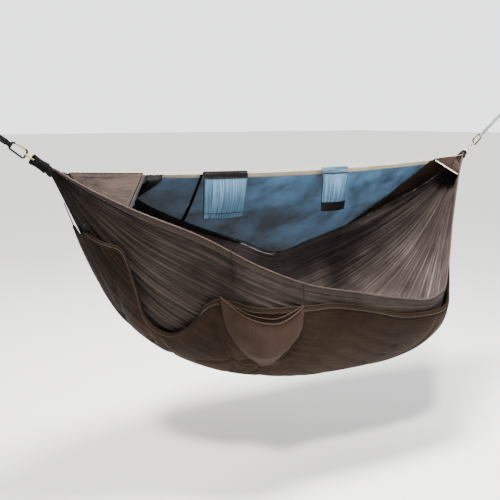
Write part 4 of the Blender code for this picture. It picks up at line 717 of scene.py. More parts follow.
hang = {
    "ridgeline": 2.70, "suspension": 0.50, "angle": radians(34), "nearSpread": 0.52, "nearDrop": 0.71,
    "farSpread": 0.50, "farDrop": 0.585, "bodyDrop": 1.06, "ridgeSag": 0.04, "belly": 1.12,
    "bunchRadius": 0.018, "bunchMouth": radians(50), "bunchReach": 0.06, "hemRadius": 0.004,
    "cutWidth": 1.55, "cutLength": 3.05,
}
foot = np.array((hang["suspension"] * cos(hang["angle"]), 0, -hang["suspension"] * sin(hang["angle"])))
head = foot + np.array((hang["ridgeline"], 0, 0))


def shareCurve(table):
    # Smooth curve through a table of shares that never overshoots them
    xs, ys = np.array(table, float).T
    widths = np.diff(xs)
    slopes = np.diff(ys) / widths
    leans = np.concatenate([slopes[:1], np.zeros(len(xs) - 2), slopes[-1:]])
    for k in range(1, len(xs) - 1):
        if slopes[k - 1] * slopes[k] > 0:
            heavy, light = 2 * widths[k] + widths[k - 1], widths[k] + 2 * widths[k - 1]
            leans[k] = (heavy + light) / (heavy / slopes[k - 1] + light / slopes[k])

    def value(share):
        share = np.clip(share, xs[0], xs[-1])
        k = np.clip(np.searchsorted(xs, share, side="left") - 1, 0, len(widths) - 1)
        t = (share - xs[k]) / widths[k]
        rise = ys[k] * (1 + 2 * t) * (1 - t) ** 2 + ys[k + 1] * t * t * (3 - 2 * t)
        return rise + widths[k] * (leans[k] * t * (1 - t) ** 2 + leans[k + 1] * t * t * (t - 1))
    return value


nearSpread = shareCurve((
    (0, 0), (0.10, 0.33), (0.204, 0.60), (0.306, 0.767), (0.40, 0.885), (0.50, 0.96),
    (0.60, 0.995), (0.68, 1), (0.725, 0.965), (0.79, 0.76), (0.861, 0.49), (0.944, 0.195), (1, 0)))
nearDrop = shareCurve((
    (0, 0), (0.10, 0.228), (0.204, 0.417), (0.306, 0.638), (0.40, 0.785), (0.50, 0.87),
    (0.60, 0.955), (0.68, 1), (0.725, 0.97), (0.79, 0.78), (0.861, 0.50), (0.944, 0.20), (1, 0)))
farSpread = shareCurve((
    (0, 0), (0.064, 0.276), (0.13, 0.506), (0.198, 0.692), (0.251, 0.796), (0.329, 0.898),
    (0.40, 0.97), (0.503, 1), (0.60, 0.99), (0.689, 0.916), (0.776, 0.77), (0.857, 0.538),
    (0.943, 0.226), (1, 0)))
farDrop = shareCurve((
    (0, 0), (0.064, 0.072), (0.13, 0.161), (0.198, 0.280), (0.251, 0.398), (0.329, 0.542),
    (0.40, 0.67), (0.503, 0.839), (0.60, 0.995), (0.689, 0.889), (0.776, 0.75), (0.857, 0.542),
    (0.943, 0.267), (1, 0)))
bodyDrop = shareCurve((
    (0, 0), (0.04, 0.21), (0.074, 0.38), (0.111, 0.54), (0.159, 0.69), (0.233, 0.82),
    (0.344, 0.934), (0.5, 0.995), (0.611, 1), (0.722, 0.934), (0.815, 0.78), (0.87, 0.64),
    (0.944, 0.34), (1, 0)))


def clothSurface(s, v):
    s, v = np.broadcast_arrays(np.asarray(s, float), np.asarray(v, float))
    nearY, nearZ = -hang["nearSpread"] * nearSpread(s), -hang["nearDrop"] * nearDrop(s)
    farY, farZ = hang["farSpread"] * farSpread(s), -hang["farDrop"] * farDrop(s)
    handle = (8 * -hang["bodyDrop"] * bodyDrop(s) - nearZ - farZ) / 6
    w = 1 - v
    y = w ** 3 * nearY + 3 * w * v * hang["belly"] * (w * nearY + v * farY) + v ** 3 * farY
    z = w ** 3 * nearZ + 3 * w * v * handle + v ** 3 * farZ
    angle = hang["bunchMouth"] + 2 * (pi - hang["bunchMouth"]) * v
    bunch = hang["bunchRadius"] * np.clip(1 - np.minimum(s, 1 - s) / hang["bunchReach"], 0, None) ** 2
    return np.stack([foot[0] + s * hang["ridgeline"], y - bunch * np.sin(angle), foot[2] + z + bunch * np.cos(angle)],
                    axis=-1)


def clothLean(s, v):
    # Unit directions outwards from the surface and up along it to the near hem
    step = 1e-4
    s, v = np.broadcast_arrays(np.asarray(s, float), np.asarray(v, float))
    forward = clothSurface(np.minimum(1, s + step), v) - clothSurface(np.maximum(0, s - step), v)
    across = clothSurface(s, np.minimum(1, v + step)) - clothSurface(s, np.maximum(0, v - step))
    outward = unit(np.cross(across, forward))
    return outward, unit(np.cross(outward, forward))


def clothPoint(s, v, out=0.0):
    return clothSurface(s, v) + np.asarray(out, float)[..., None] * clothLean(s, v)[0]


def crowded(steps):
    # Shares that crowd towards both gathers
    return (1 - np.cos(pi * np.arange(steps + 1) / steps)) / 2


def hemPoint(s, side):
    edge, way = (0, 1) if side == "near" else (1, -1)
    return clothSurface(s, edge) + way * (hang["hemRadius"] + 0.0006) * clothLean(s, edge)[1]


def hemSeat(s, side, target):
    # Where cloth that comes down from the target meets the hem
    middle = hemPoint(s, side)
    run = unit(hemPoint(np.minimum(1, np.asarray(s) + 1e-3), side) - hemPoint(np.asarray(s) - 1e-3, side))
    climb = target - middle
    climb = unit(climb - (climb * run).sum(-1, keepdims=True) * run)
    return middle + (hang["hemRadius"] + 0.0004) * climb


def ridgePoint(s):
    s = np.asarray(s, float)
    return np.stack([foot[0] + s * hang["ridgeline"], 0 * s, foot[2] - 4 * hang["ridgeSag"] * s * (1 - s)], axis=-1)


# Hammock body with its hems

body = {"rows": 168, "columns": 290, "doorShare": 0.58, "wall": 0.0009, "folds": 25.0,
        "fine": 40.0, "fineDepth": 0.0085, "pleatDepth": 0.017, "pleatReach": 0.25,
        "broadFolds": 5, "broadDepth": 0.015, "broadReach": 0.32, "hemBand": 0.020, "drapes": 11.0,
        "drapeDepth": 0.016, "drapeMiddle": 0.15, "drapeReach": 0.14}


def broadFold(s, v):
    reach = np.minimum(s, 1 - s) / body["broadReach"]
    depth = np.where(reach < 1, np.sin(pi * np.sqrt(np.clip(reach, 0, 1))), 0)
    broad = body["broadDepth"] * depth * (1 - np.cos(2 * pi * body["broadFolds"] * v)) / 2
    # Slack drapes on the door's side, which fan out of both gathers
    fromEnd = np.minimum(s, 1 - s)
    wave = 0.5 + 0.5 * np.sin(2 * pi * body["drapes"] * (v + 0.10 * s) + 1.7 * np.sin(9 * v + 4 * s))
    drape = body["drapeDepth"] * bell(fromEnd - body["drapeMiddle"], body["drapeReach"]) * wave ** 1.6
    return broad + drape * ease(v / 0.04) * ease((0.62 - v) / 0.25)


def fineFold(s, v):
    # Tight folds that run from the foot gather along the door's side to the pocket
    phase = body["fine"] * (v + 0.03 * np.sin(5 * s + 2)) + 0.7 * np.sin(31 * v) + 0.5 * np.sin(60 * v + 7 * s)
    ridge = (0.5 + 0.5 * np.sin(2 * pi * phase)) ** 1.4
    uneven = 0.45 + 0.55 * (0.5 + 0.5 * np.sin(23 * v + 9 * s + 1))
    room = ease((s - 0.03) / 0.06) * ease((0.60 - s) / 0.30) * ease(v / 0.025) * ease((0.42 - v) / 0.16)
    return body["fineDepth"] * ridge * uneven * room


def pleatRoom(s, v):
    # How deep the fine pleats may go: what the bunched width allows, and none at the hems
    m = np.minimum(s, 1 - s)
    arc = 0.075 + 6.0 * m
    depth = np.minimum(0.34 * arc / body["folds"], body["pleatDepth"] * np.exp(-(m / body["pleatReach"]) ** 2))
    return depth * ease(v / 0.03) * ease((1 - v) / 0.03)


def makeBody():
    s = crowded(body["rows"])[:, None]
    share = np.linspace(0, 1, body["columns"] + 1)[None, :]
    v = np.interp(share, (0, body["doorShare"], 1), (0, 0.42, 1))
    points = clothPoint(s, v, -broadFold(s, v) - fineFold(s, v) - 0.0010)
    points[..., 0] = np.clip(points[..., 0], foot[0], head[0])
    cloth = skin("bodyCloth", points, hang["cutWidth"], hang["cutLength"])
    flat = cloth.data
    grid = np.broadcast_to(s, points.shape[:2]), np.broadcast_to(v, points.shape[:2])
    for name, values in (("alongShare", grid[0]), ("acrossShare", grid[1]), ("pleatDepth", pleatRoom(s, v))):
        flat.attributes.new(name, "FLOAT", "POINT").data.foreach_set("value", values.astype(np.float32).ravel())
    flat.attributes.new("inward", "FLOAT_VECTOR", "POINT").data.foreach_set(
        "vector", (-clothLean(s, v)[0]).astype(np.float32).ravel())
    cloth = grow("hammockCloth", cloth, "softPleats", "shellNylon", Folds=body["folds"], Uneven=0.5, Seed=3.0)
    # The inner face takes the lighter inside colour, painted light for daylight through the cloth
    dress(cloth, "shellNylon", replaced=("hammock_body",), wall=body["wall"], inside="shellInsidePaintedLight")
    clothArea(cloth)
    for side, v0, way in (("near", 0.0, 1), ("far", 1.0, -1)):
        shares = crowded(180)
        roll = hemPoint(shares, side)
        roll[:, 0] = np.clip(roll[:, 0], foot[0] + 0.001, head[0] - 0.001)
        ripple = 1 + 0.10 * wander(shares * 160, 2 + way)
        hem = tube(side + "HemRoll", roll, hang["hemRadius"] * ripple, 12)
        # The hem roll takes the lighter hem colour, a painted highlight
        dress(hem, "hemNylon", replaced=(side + "_hem",))
        steps = np.linspace(0, body["hemBand"], 5)[None, :] / 1.45
        band = shares[6:-6, None]
        across = v0 + way * steps
        lift = 0.0012 - 0.0010 * (steps / steps.max()) ** 2
        strip = skin(side + "HemBand", clothPoint(band, across, lift), body["hemBand"], hang["cutLength"])
        dress(strip, "bandNylon", wall=0.0006)
        seam = clothPoint(band[:, 0], v0 + way * 0.0165 / 1.45, 0.0014)
        stitches(side + "HemStitches", [seam], "darkThread", pitch=0.0075, length=0.0055, radius=0.0006)
    print("hammock cloth and hems")


def clothArea(item):
    # Area of the cloth as modelled, one side
    item.data.calc_loop_triangles()
    corners = np.empty(len(item.data.vertices) * 3)
    item.data.vertices.foreach_get("co", corners)
    picks = np.empty(len(item.data.loop_triangles) * 3, int)
    item.data.loop_triangles.foreach_get("vertices", picks)
    tri = corners.reshape(-1, 3)[picks.reshape(-1, 3)]
    area = float(np.linalg.norm(np.cross(tri[:, 1] - tri[:, 0], tri[:, 2] - tri[:, 0]), axis=1).sum() / 2)
    print(f"  {item.name}: {area:.3f} m2 of cloth")
    return area


# Underquilt with its bound edges, drawcords and tethers

quilt = {"gap": 0.008, "loft": 0.058, "edge": 0.008, "start": 0.05, "end": 0.95, "rows": 300, "columns": 150,
         "grooveWidth": 0.012, "grooveDepth": 0.010, "bindingWidth": 0.017, "pucker": 0.040,
         "puckerDepth": 0.0085, "puckerReach": 0.10, "cord": 0.003, "tether": 0.0025}
quiltNear = shareCurve((
    (0.05, 0.32), (0.075, 0.20), (0.092, 0.155), (0.117, 0.24), (0.145, 0.35), (0.165, 0.375),
    (0.185, 0.355), (0.20, 0.28), (0.217, 0.16), (0.235, 0.125), (0.30, 0.10), (0.375, 0.06),
    (0.45, 0.035), (0.533, 0.04), (0.60, 0.05), (0.667, 0.045), (0.72, 0.06), (0.80, 0.12),
    (0.88, 0.20), (0.95, 0.30)))
quiltFar = shareCurve((
    (0.05, 0.68), (0.10, 0.80), (0.20, 0.90), (0.35, 0.95), (0.65, 0.95), (0.80, 0.88), (0.95, 0.70)))
quiltRow = shareCurve(((0, 0.05), (0.08, 0.085), (0.42, 0.235), (0.55, 0.35), (0.75, 0.65), (1, 0.95)))
# Sewn line and soft folds across the quilt, as places on the cloth: s and v, then how deep and how wide
quiltSeam = ((0.483, 0.030), (0.458, 0.060), (0.417, 0.080), (0.375, 0.120), (0.367, 0.220), (0.342, 0.260),
             (0.342, 0.400))
quiltFolds = (
    (((0.100, 0.165), (0.120, 0.260), (0.150, 0.380), (0.190, 0.500)), 0.014, 0.020),
    (((0.085, 0.200), (0.095, 0.300), (0.115, 0.420), (0.140, 0.520)), 0.012, 0.022),
    (((0.225, 0.170), (0.260, 0.240), (0.300, 0.330), (0.330, 0.430)), 0.014, 0.024),
    (((0.240, 0.135), (0.300, 0.200), (0.350, 0.300), (0.390, 0.420)), 0.008, 0.020),
    (((0.170, 0.385), (0.200, 0.440), (0.250, 0.520), (0.300, 0.580)), 0.009, 0.022),
    (((0.475, 0.062), (0.525, 0.088), (0.590, 0.120)), 0.0065, 0.013),
    (((0.455, 0.085), (0.520, 0.125), (0.600, 0.170)), 0.0080, 0.014),
    (((0.435, 0.110), (0.500, 0.160), (0.585, 0.215)), 0.0070, 0.013),
    (((0.415, 0.140), (0.480, 0.200), (0.560, 0.265)), 0.0085, 0.015),
    (((0.400, 0.185), (0.460, 0.250), (0.540, 0.320)), 0.0075, 0.014),
    (((0.385, 0.235), (0.440, 0.300), (0.520, 0.365)), 0.0085, 0.016),
    (((0.370, 0.285), (0.425, 0.350), (0.500, 0.415)), 0.0070, 0.015),
    (((0.320, 0.270), (0.280, 0.330), (0.250, 0.400)), 0.0070, 0.015),
    (((0.700, 0.055), (0.690, 0.120), (0.660, 0.220), (0.600, 0.330)), 0.008, 0.026),
    (((0.780, 0.110), (0.750, 0.200), (0.700, 0.300), (0.640, 0.400)), 0.009, 0.026),
    (((0.860, 0.190), (0.820, 0.280), (0.770, 0.380), (0.700, 0.480)), 0.010, 0.024),
    (((0.930, 0.320), (0.880, 0.400), (0.820, 0.480), (0.760, 0.560)), 0.010, 0.022),
    (((0.930, 0.550), (0.880, 0.600), (0.820, 0.650), (0.750, 0.700)), 0.010, 0.022),
    (((0.070, 0.560), (0.110, 0.600), (0.160, 0.660), (0.230, 0.700)), 0.010, 0.022),
    (((0.070, 0.420), (0.110, 0.480), (0.170, 0.560), (0.240, 0.620)), 0.008, 0.022),
)


def quiltLoft(s, across):
    along = np.clip((s - quilt["start"]) / (quilt["end"] - quilt["start"]), 0, 1)
    crown = np.sqrt(np.clip(np.sin(pi * np.clip(across, 0, 1)) * np.sin(pi * along), 0, None))
    return quilt["edge"] + (quilt["loft"] - quilt["edge"]) * crown


def quiltOutside(s, v):
    near, far = quiltNear(s), quiltFar(s)
    return quilt["gap"] + quiltLoft(s, (v - near) / (far - near))


def nearLine(points, line):
    # How far every point is from a line through a few places, and how far along it, in metres
    best, along, passed = np.full(points.shape[:2], 9.0), np.zeros(points.shape[:2]), 0.0
    for start, stop in zip(line[:-1], line[1:]):
        run = stop - start
        t = np.clip(((points - start) @ run) / run.dot(run), 0, 1)
        away = np.linalg.norm(points - start - t[..., None] * run, axis=-1)
        along = np.where(away < best, passed + t * np.linalg.norm(run), along)
        best = np.minimum(best, away)
        passed += np.linalg.norm(run)
    return best, along


def onQuilt(spots, out=0.0, steps=12):
    s, v = curved([(a, b, 0) for a, b in spots], steps).T[:2]
    return clothPoint(s, v, quiltOutside(s, v) + out)


def quiltPoints():
    s = quiltRow(np.linspace(0, 1, quilt["rows"] + 1))[:, None]
    across = np.linspace(0, 1, quilt["columns"] + 1)[None, :]
    near, far = quiltNear(s), quiltFar(s)
    v = near + across * (far - near)
    loft = quiltLoft(s, across)
    shell = clothPoint(s, v, quilt["gap"] + loft)
    soft = ease(loft / quilt["loft"] * 1.4 - 0.25)
    away, along = nearLine(shell, onQuilt(quiltSeam))
    sink = quilt["grooveDepth"] * bell(away, quilt["grooveWidth"]) * soft
    pucker = (0.5 + 0.5 * np.sin(2 * pi * along / quilt["pucker"] + 2.2 * np.sin(along * 17))) ** 1.5
    sink = sink + quilt["puckerDepth"] * pucker * bell(away, quilt["puckerReach"]) * soft
    for spots, depth, width in quiltFolds:
        fade = ease(loft / quilt["loft"] * 1.6 - 0.3)
        sink = sink + 1.5 * depth * bell(nearLine(shell, onQuilt(spots))[0], 0.8 * width) * fade
    # Gathers where the drawcords and the bound edge draw the shell in
    edge = np.minimum(across * (far - near), (1 - across) * (far - near)) * 1.5
    ends = np.minimum(s - quilt["start"], quilt["end"] - s) * hang["ridgeline"]
    drawn = 0.0035 * bell(edge, 0.055) * (0.5 + 0.5 * wander(s * 330, 4))
    drawn = drawn + 0.0045 * bell(ends, 0.11) * (0.5 + 0.5 * wander(across * 95, 7))
    broad = 0.0035 * (0.5 + 0.5 * wander(s * 21 + 3 * np.sin(across * 7), 5) * wander(across * 9 + 2 * s, 9))
    sink = np.clip(sink + (drawn + broad) * soft ** 0.5, 0, 0.85 * (loft - 0.003))
    return s, v, across, loft, clothPoint(s, v, quilt["gap"] + loft - sink), clothPoint(s, v, quilt["gap"])


def makeQuilt():
    s, v, across, loft, outer, inner = quiltPoints()
    rows, columns = outer.shape[:2]
    # One closed shell: outside, then back over the inside, rounded where they meet
    ring = np.concatenate([outer, inner[:, ::-1]], axis=1)
    shell = skin("quiltShell", ring, 3.0, 2.6, closed=True)
    for name, values in (("alongShare", s), ("acrossShare", v)):
        half = np.broadcast_to(values, (rows, columns))
        shell.data.attributes.new(name, "FLOAT", "POINT").data.foreach_set(
            "value", np.concatenate([half, half[:, ::-1]], axis=1).astype(np.float32).ravel())
    shape = bmesh.new()
    shape.from_mesh(shell.data)
    shape.verts.ensure_lookup_table()
    count = ring.shape[1]
    layer = shape.loops.layers.uv["cloth"]
    for row in (0, rows - 1):
        for k in range(columns - 1):
            corners = [row * count + k, row * count + k + 1, row * count + count - 2 - k, row * count + count - 1 - k]
            face = shape.faces.new([shape.verts[corner] for corner in corners])
            face.smooth = True
            for loop, spot in zip(face.loops, ((0, 0), (0.01, 0), (0.01, 0.008), (0, 0.008))):
                loop[layer].uv = (k * 0.01 + spot[0], spot[1])
    bmesh.ops.recalc_face_normals(shape, faces=shape.faces)
    shape.to_mesh(shell.data)
    shape.free()
    dress(shell, "quiltShellNylon", replaced=("underquilt",))
    # Bound edge: folded tape round the rim with a row of stitches and a second line inside it
    middle = quilt["gap"] + quilt["edge"] / 2
    shares = quiltRow(np.linspace(0.004, 0.996, 420))
    width = quilt["bindingWidth"]
    for side, edge, way in (("near", quiltNear(shares), 1), ("far", quiltFar(shares), -1)):
        turns = np.linspace(-pi / 2, pi / 2, 7)[None, :]
        reach, round_ = 0.0050, 0.0056
        legs = np.array([-width, -width / 2])[None, :]
        into = np.concatenate([np.broadcast_to(legs, (len(shares), 2)), np.broadcast_to(reach * np.cos(turns) * 1.0, (len(shares), 7)),
                               np.broadcast_to(legs[:, ::-1], (len(shares), 2))], axis=1)
        high = np.concatenate([np.full((len(shares), 2), round_), np.broadcast_to(-round_ * np.sin(turns), (len(shares), 7)),
                               np.full((len(shares), 2), -0.0046)], axis=1)
        place = edge[:, None] - way * into / 1.5
        loftHere = quiltOutside(shares[:, None], place)
        outside = np.where(high > 0.99 * round_, loftHere + 0.0010, middle + high)
        outside[:, -2:] = quilt["gap"] - 0.0012
        tape = skin(side + "QuiltBinding", clothPoint(shares[:, None], place, outside), 2 * width, 2.6)
        dress(tape, "quiltNylon", wall=0.0009)
        for number, into in enumerate((0.0, width)):
            where = edge + way * into / 1.5
            height = quiltOutside(shares, where) + 0.0004 if into else middle + 0.0050 + 0 * where
            cord = tube(f"{side}QuiltPiping{number}", clothPoint(shares, where, height), 0.0021, 6)
            dress(cord, "blackTrim")
        seam = edge + way * (width - 0.005) / 1.5
        stitches(side + "BindingStitches", [clothPoint(shares, seam, quiltOutside(shares, seam) + 0.0018)],
                 "paleThread", pitch=0.007, length=0.005, radius=0.0006)
        second = edge + way * (width + 0.012) / 1.5
        line = tube(side + "QuiltChannel", clothPoint(shares, second, quiltOutside(shares, second) - 0.0015), 0.0022, 6)
        dress(line, "quiltNylon")
    for tag, spots in (("Seam", quiltSeam),):
        route = resampled(onQuilt(spots, 0.0), 160)
        s0, v0 = curved([(a, b, 0) for a, b in spots], 20).T[:2]
        deep = clothPoint(s0, v0, quiltOutside(s0, v0) - 0.0078)
        stitches("quilt" + tag + "Stitches", [deep], "paleThread", pitch=0.006, length=0.0042, radius=0.0006)
    makeQuiltCords()
    print("underquilt")


def makeQuiltCords():
    out = quilt["gap"] + quilt["edge"] / 2
    for end, edge, beyond, tack in (("foot", quilt["start"], -1, 0.025), ("head", quilt["end"], 1, 0.975)):
        shares = quiltNear(edge) + np.linspace(0, 1, 15) * (quiltFar(edge) - quiltNear(edge))
        rim = clothPoint(edge, shares, out)
        run = unit(np.gradient(rim, axis=0))
        ahead = clothPoint(edge + beyond * 1e-3, shares, out) - rim
        ahead = unit(ahead - (ahead * run).sum(-1, keepdims=True) * run)
        route = rim + (quilt["cord"] + 0.0009) * ahead
        if end == "foot":
            tail = clothPoint(edge - 0.002, np.array((0.235, 0.290)), out)
            route = np.concatenate([tail, route])
        smooth = resampled(curved(route, 8), 220)
        swell = quilt["cord"] * (1 + 0.08 * np.sin(np.arange(220) * 1.9))
        dress(tube(end + "QuiltDrawcord", smooth, swell, 10), "blackTrim", replaced=(f"quilt_{end}_cord",))
        for tag, column in (("near", 3), ("far", 11)):
            v = shares[column]
            start = rim[column] + (2 * quilt["cord"] + 0.0012) * ahead[column]
            spots = [start, start + 2 * quilt["tether"] * ahead[column]]
            for k in (4, 5, 6, 7, 8):
                height = out + (quilt["tether"] + 0.0006 - out) * k / 8
                spots.append(clothPoint(edge + (tack - edge) * k / 8, v, height))
            smooth = resampled(curved(spots, 10), 120)
            dress(tube(f"{end}{tag.title()}Tether", smooth, quilt["tether"] * (1 + 0.07 * np.sin(np.arange(120) * 2.1)), 10),
                  "blackTrim", replaced=(f"quilt_{end}_tether_{tag}",))


# Storage pocket on the quilt

pocket = {"backGap": 0.006, "belly": 0.070, "mouth": 0.60, "side": 0.009, "depth": 0.12, "deeper": 0.2,
          "wall": 0.0012, "lip": 0.0045, "rows": 60, "columns": 96, "gathers": 22, "gatherDepth": 0.0105,
          "cord": 0.0016, "cordOut": 0.016}
pocketLeft = shareCurve(((0, 0.236), (0.35, 0.247), (0.7, 0.276), (1, 0.325)))
pocketRight = shareCurve(((0, 0.378), (0.35, 0.378), (0.7, 0.372), (1, 0.362)))
pocketTop = shareCurve(((0, 0.115), (0.3, 0.125), (0.6, 0.115), (1, 0.055)))


def pocketPoint(across, depth, down):
    left, right = pocketLeft(down), pocketRight(down)
    s = left + across * (right - left)
    v = pocketTop(across) + down * (1 + pocket["deeper"] * (1 - across)) * pocket["depth"]
    return clothPoint(s, v, quiltOutside(s, v) + pocket["backGap"] + depth)


def pocketBelly(across, down):
    swell = pocket["mouth"] + (1 - pocket["mouth"]) * np.sin(pi * np.clip(1.1 * down, 0, 1))
    close = 1 - 0.75 * np.clip(down - 0.6, 0, 1) / 0.4
    return pocket["side"] + pocket["belly"] * swell * close * np.sin(pi * across) ** 0.7


def makePocket():
    down = np.linspace(0, 1, pocket["rows"] + 1)[:, None]
    share = np.linspace(0, 1, pocket["columns"] // 2 + 1)[None, :]
    gather = pocket["gatherDepth"] * (1 - np.cos(2 * pi * pocket["gathers"] * share + 1.2 * np.sin(9 * share))) / 2
    sink = gather * np.exp(-down / 0.45) * ease(share * 9) * ease((1 - share) * 9)
    sag = 0.004 * wander(share * 22 + 3 * down, 3) * np.sin(pi * down) * np.sin(pi * share)
    front = pocketPoint(share, np.maximum(pocketBelly(share, down) - sink + sag - 0.001, 0.002), down)
    back = pocketPoint(share, 0.001 + 0 * share, down)
    ring = np.concatenate([back, front[:, ::-1]], axis=1)
    bag = skin("pocketBag", ring, 0.9, 0.4, closed=True)
    shape = bmesh.new()
    shape.from_mesh(bag.data)
    shape.verts.ensure_lookup_table()
    count, half, last = ring.shape[1], back.shape[1], pocket["rows"] * ring.shape[1]
    for k in range(half - 1):
        face = shape.faces.new([shape.verts[last + corner] for corner in (k, k + 1, count - 2 - k, count - 1 - k)])
        face.smooth = True
    bmesh.ops.recalc_face_normals(shape, faces=shape.faces)
    shape.to_mesh(bag.data)
    shape.free()
    dress(bag, "pocketNylon", replaced=("storage_pocket",), wall=pocket["wall"])
    clothArea(bag)
    # Elastic lip round the mouth, ruched
    shares = np.linspace(0, 1, 60)
    frontRim = pocketPoint(shares, np.maximum(pocketBelly(shares, 0) - 0.001, 0.002), 0)
    backRim = pocketPoint(shares, 0.001 + 0 * shares, 0)
    loop = np.concatenate([backRim[:-1], frontRim[::-1]])
    upward = unit(pocketPoint(shares, 0.01, 0) - pocketPoint(shares, 0.01, 0.05))
    lift = np.concatenate([upward[:-1], upward[::-1]])
    path = resampled(loop + (pocket["lip"] + 0.0006) * lift, 260)
    ruche = pocket["lip"] * (0.94 + 0.10 * np.sin(np.arange(260) * 2 * pi / 5.2))
    dress(tube("pocketLip", path, ruche, 12), "pocketNylon", replaced=("pocket_lip",))
    # Side and floor seam
    edge = np.linspace(0, 1, 80)
    seam = np.concatenate([pocketPoint(0.0, 0.0045, edge), pocketPoint(np.linspace(0, 1, 80), 0.0 * edge + 0.006, 1.0),
                           pocketPoint(1.0, 0.0045, edge[::-1])])
    dress(tube("pocketSeam", resampled(seam, 240), 0.0016, 8), "blackTrim")
    lipLeft, lipRight = path[-1], loop[len(backRim) - 1] + (pocket["lip"] + 0.0006) * lift[len(backRim) - 1]
    lipLeft = loop[0] + (pocket["lip"] + 0.0006) * lift[0]
    for name, s, high, low, bend, target in (("left", 0.2510, 0.001, 0.003, 0.060, lipLeft),
                                             ("right", 0.3790, 0.0, 0.0, 0.030, lipRight)):
        outward = clothLean(s, 0.0)[0]
        start = hemPoint(s, "near") + 0.0043 * outward
        upper = clothPoint(s + high, 0.020, pocket["cordOut"])
        lower = clothPoint(s + low, bend, pocket["cordOut"])
        stop = target + (pocket["lip"] + 0.0003) * unit(lower - target)
        spots = [start, start + 2 * pocket["cord"] * outward, upper, lower, stop]
        straight = np.concatenate([np.linspace(a, b, 12)[:-1] for a, b in zip(spots, spots[1:])] + [[stop]])
        dress(tube("pocketCord" + name.title(), straight, pocket["cord"], 10), "blackTrim",
              replaced=("pocket_cord_" + name,))
    print("storage pocket")


# Ridgeline, net walls and end caps

netting = {"tapeDrop": 0.0095, "tapeOffset": 0.0115, "tapeWidth": 0.035, "sag": 0.012, "capSag": 0.015,
           "capReveal": 0.0035, "binding": 0.016,
           "footCap": (0.165, 0.100, 0.111), "footSeam": (0.287, 0.348), "headCap": (0.907, 0.955, 0.776),
           "capStart": 0.030, "capEnd": 0.975}


def farShare(top):
    stations = (netting["footCap"][0], netting["footSeam"][0], netting["headCap"][0])
    return np.interp(top, stations, (netting["footCap"][2], netting["footSeam"][1], netting["headCap"][2]))


def netTop(s):
    return ridgePoint(s) + np.array((0, netting["tapeOffset"], -netting["tapeDrop"]))


def netPoint(top, down):
    top, down = np.broadcast_arrays(np.asarray(top, float), np.asarray(down, float))
    high = netTop(top)
    low = hemSeat(farShare(top), "far", high)
    point = high + down[..., None] * (low - high)
    point[..., 2] -= 4 * netting["sag"] * down * (1 - down)
    return point


def netLean(top, down):
    forward = netPoint(top + 1e-3, down) - netPoint(top - 1e-3, down)
    return unit(np.cross(forward, netPoint(top, down + 1e-3) - netPoint(top, down - 1e-3)))


def makeNet():
    ridge = ridgePoint(crowded(160))
    ridge[:, 0] = np.clip(ridge[:, 0], foot[0] + 0.001, head[0] - 0.001)
    dress(tube("ridgelineCord", ridge, 0.0019, 10), "creamCord", replaced=("ridgeline",))
    span = hang["ridgeline"]
    start, stop = netting["footCap"][0] + 0.0008 / span, netting["headCap"][0] - 0.005 / span
    seam, half = netting["footSeam"][0], netting["binding"] / 2 / span
    tape = np.linspace(start, stop, 120)
    edge = netting["tapeWidth"] / np.linalg.norm(netPoint(tape, 1) - netTop(tape), axis=-1)
    across = np.linspace(0, 1, 5)[None, :] * edge[:, None]
    strip = netPoint(tape[:, None], across)
    dress(skin("ridgeTape", strip, netting["tapeWidth"], span), "paleTape", replaced=("net_ridge_tape",), wall=0.0012)
    rows = []
    for share in (0.12, 0.88):
        spots = netPoint(tape, share * edge)
        rows += [spots + 0.0010 * netLean(tape, share * edge), spots - 0.0010 * netLean(tape, share * edge)]
    stitches("ridgeTapeStitches", rows, "paleThread", pitch=0.006, length=0.0044, radius=0.0005)
    # The last number is the cut's share of its rectangle: near a triangle, and near a bow
    for name, low, high, columns, node, cut in (
            ("footNetWall", start, seam - half, 40, "net_wall_foot", 1 / 2),
            ("longNetWall", seam + half, stop - 2 * half, 130, "net_wall", 2 / 3)):
        top = np.linspace(low, high, columns)[:, None]
        drop = netting["tapeWidth"] / np.linalg.norm(netPoint(top, 1) - netTop(top), axis=-1)
        down = drop + (1 - drop) * np.linspace(0, 1, 44)[None, :]
        slack = 0.0022 * wander(top * 60 + 4 * down, 3) * np.sin(pi * down) ** 0.6
        slack = slack + 0.003 * wander(top * 190, 6) * bell(1 - down, 0.18)
        points = netPoint(top, down) + slack[..., None] * netLean(top, down)
        wall = skin(name, points, (high - low) * span, 0.75)
        wall.data.uv_layers["cloth"].data.foreach_set("uv", netUv(wall, points))
        dress(wall, "farNet", replaced=(node,))
        clothArea(wall)
        flat = netFlat(points)
    for name, low, high, node in (("footNetBinding", seam - half, seam + half, "net_binding_foot"),
                                  ("headNetBinding", stop - 2 * half, stop, "net_binding_head")):
        top = np.linspace(low, high, 5)[None, :]
        down = np.linspace(0.004, 1, 60)[:, None]
        points = netPoint(top, down)
        dress(skin(name, points, netting["binding"], 0.6), "blackTrim", replaced=(node,), wall=0.0024)
        rows = [netPoint(low + share * (high - low), down[:, 0]) + way * 0.0017 * netLean(low, down[:, 0])
                for share in (0.15, 0.85) for way in (-1, 1)]
        stitches(name + "Stitches", rows, "paleThread", pitch=0.006, length=0.0042, radius=0.0005)
    # Pleated edge where the net meets the far hem
    top = np.linspace(start, stop, 420)
    for name, drop, size in (("netFootHem", 0.985, 0.0028),):
        points = netPoint(top, drop) + (0.0012 * wander(top * 700, 4))[:, None] * netLean(top, drop)
        dress(tube(name, points, size, 8), "blackTrim")
    print("net walls")


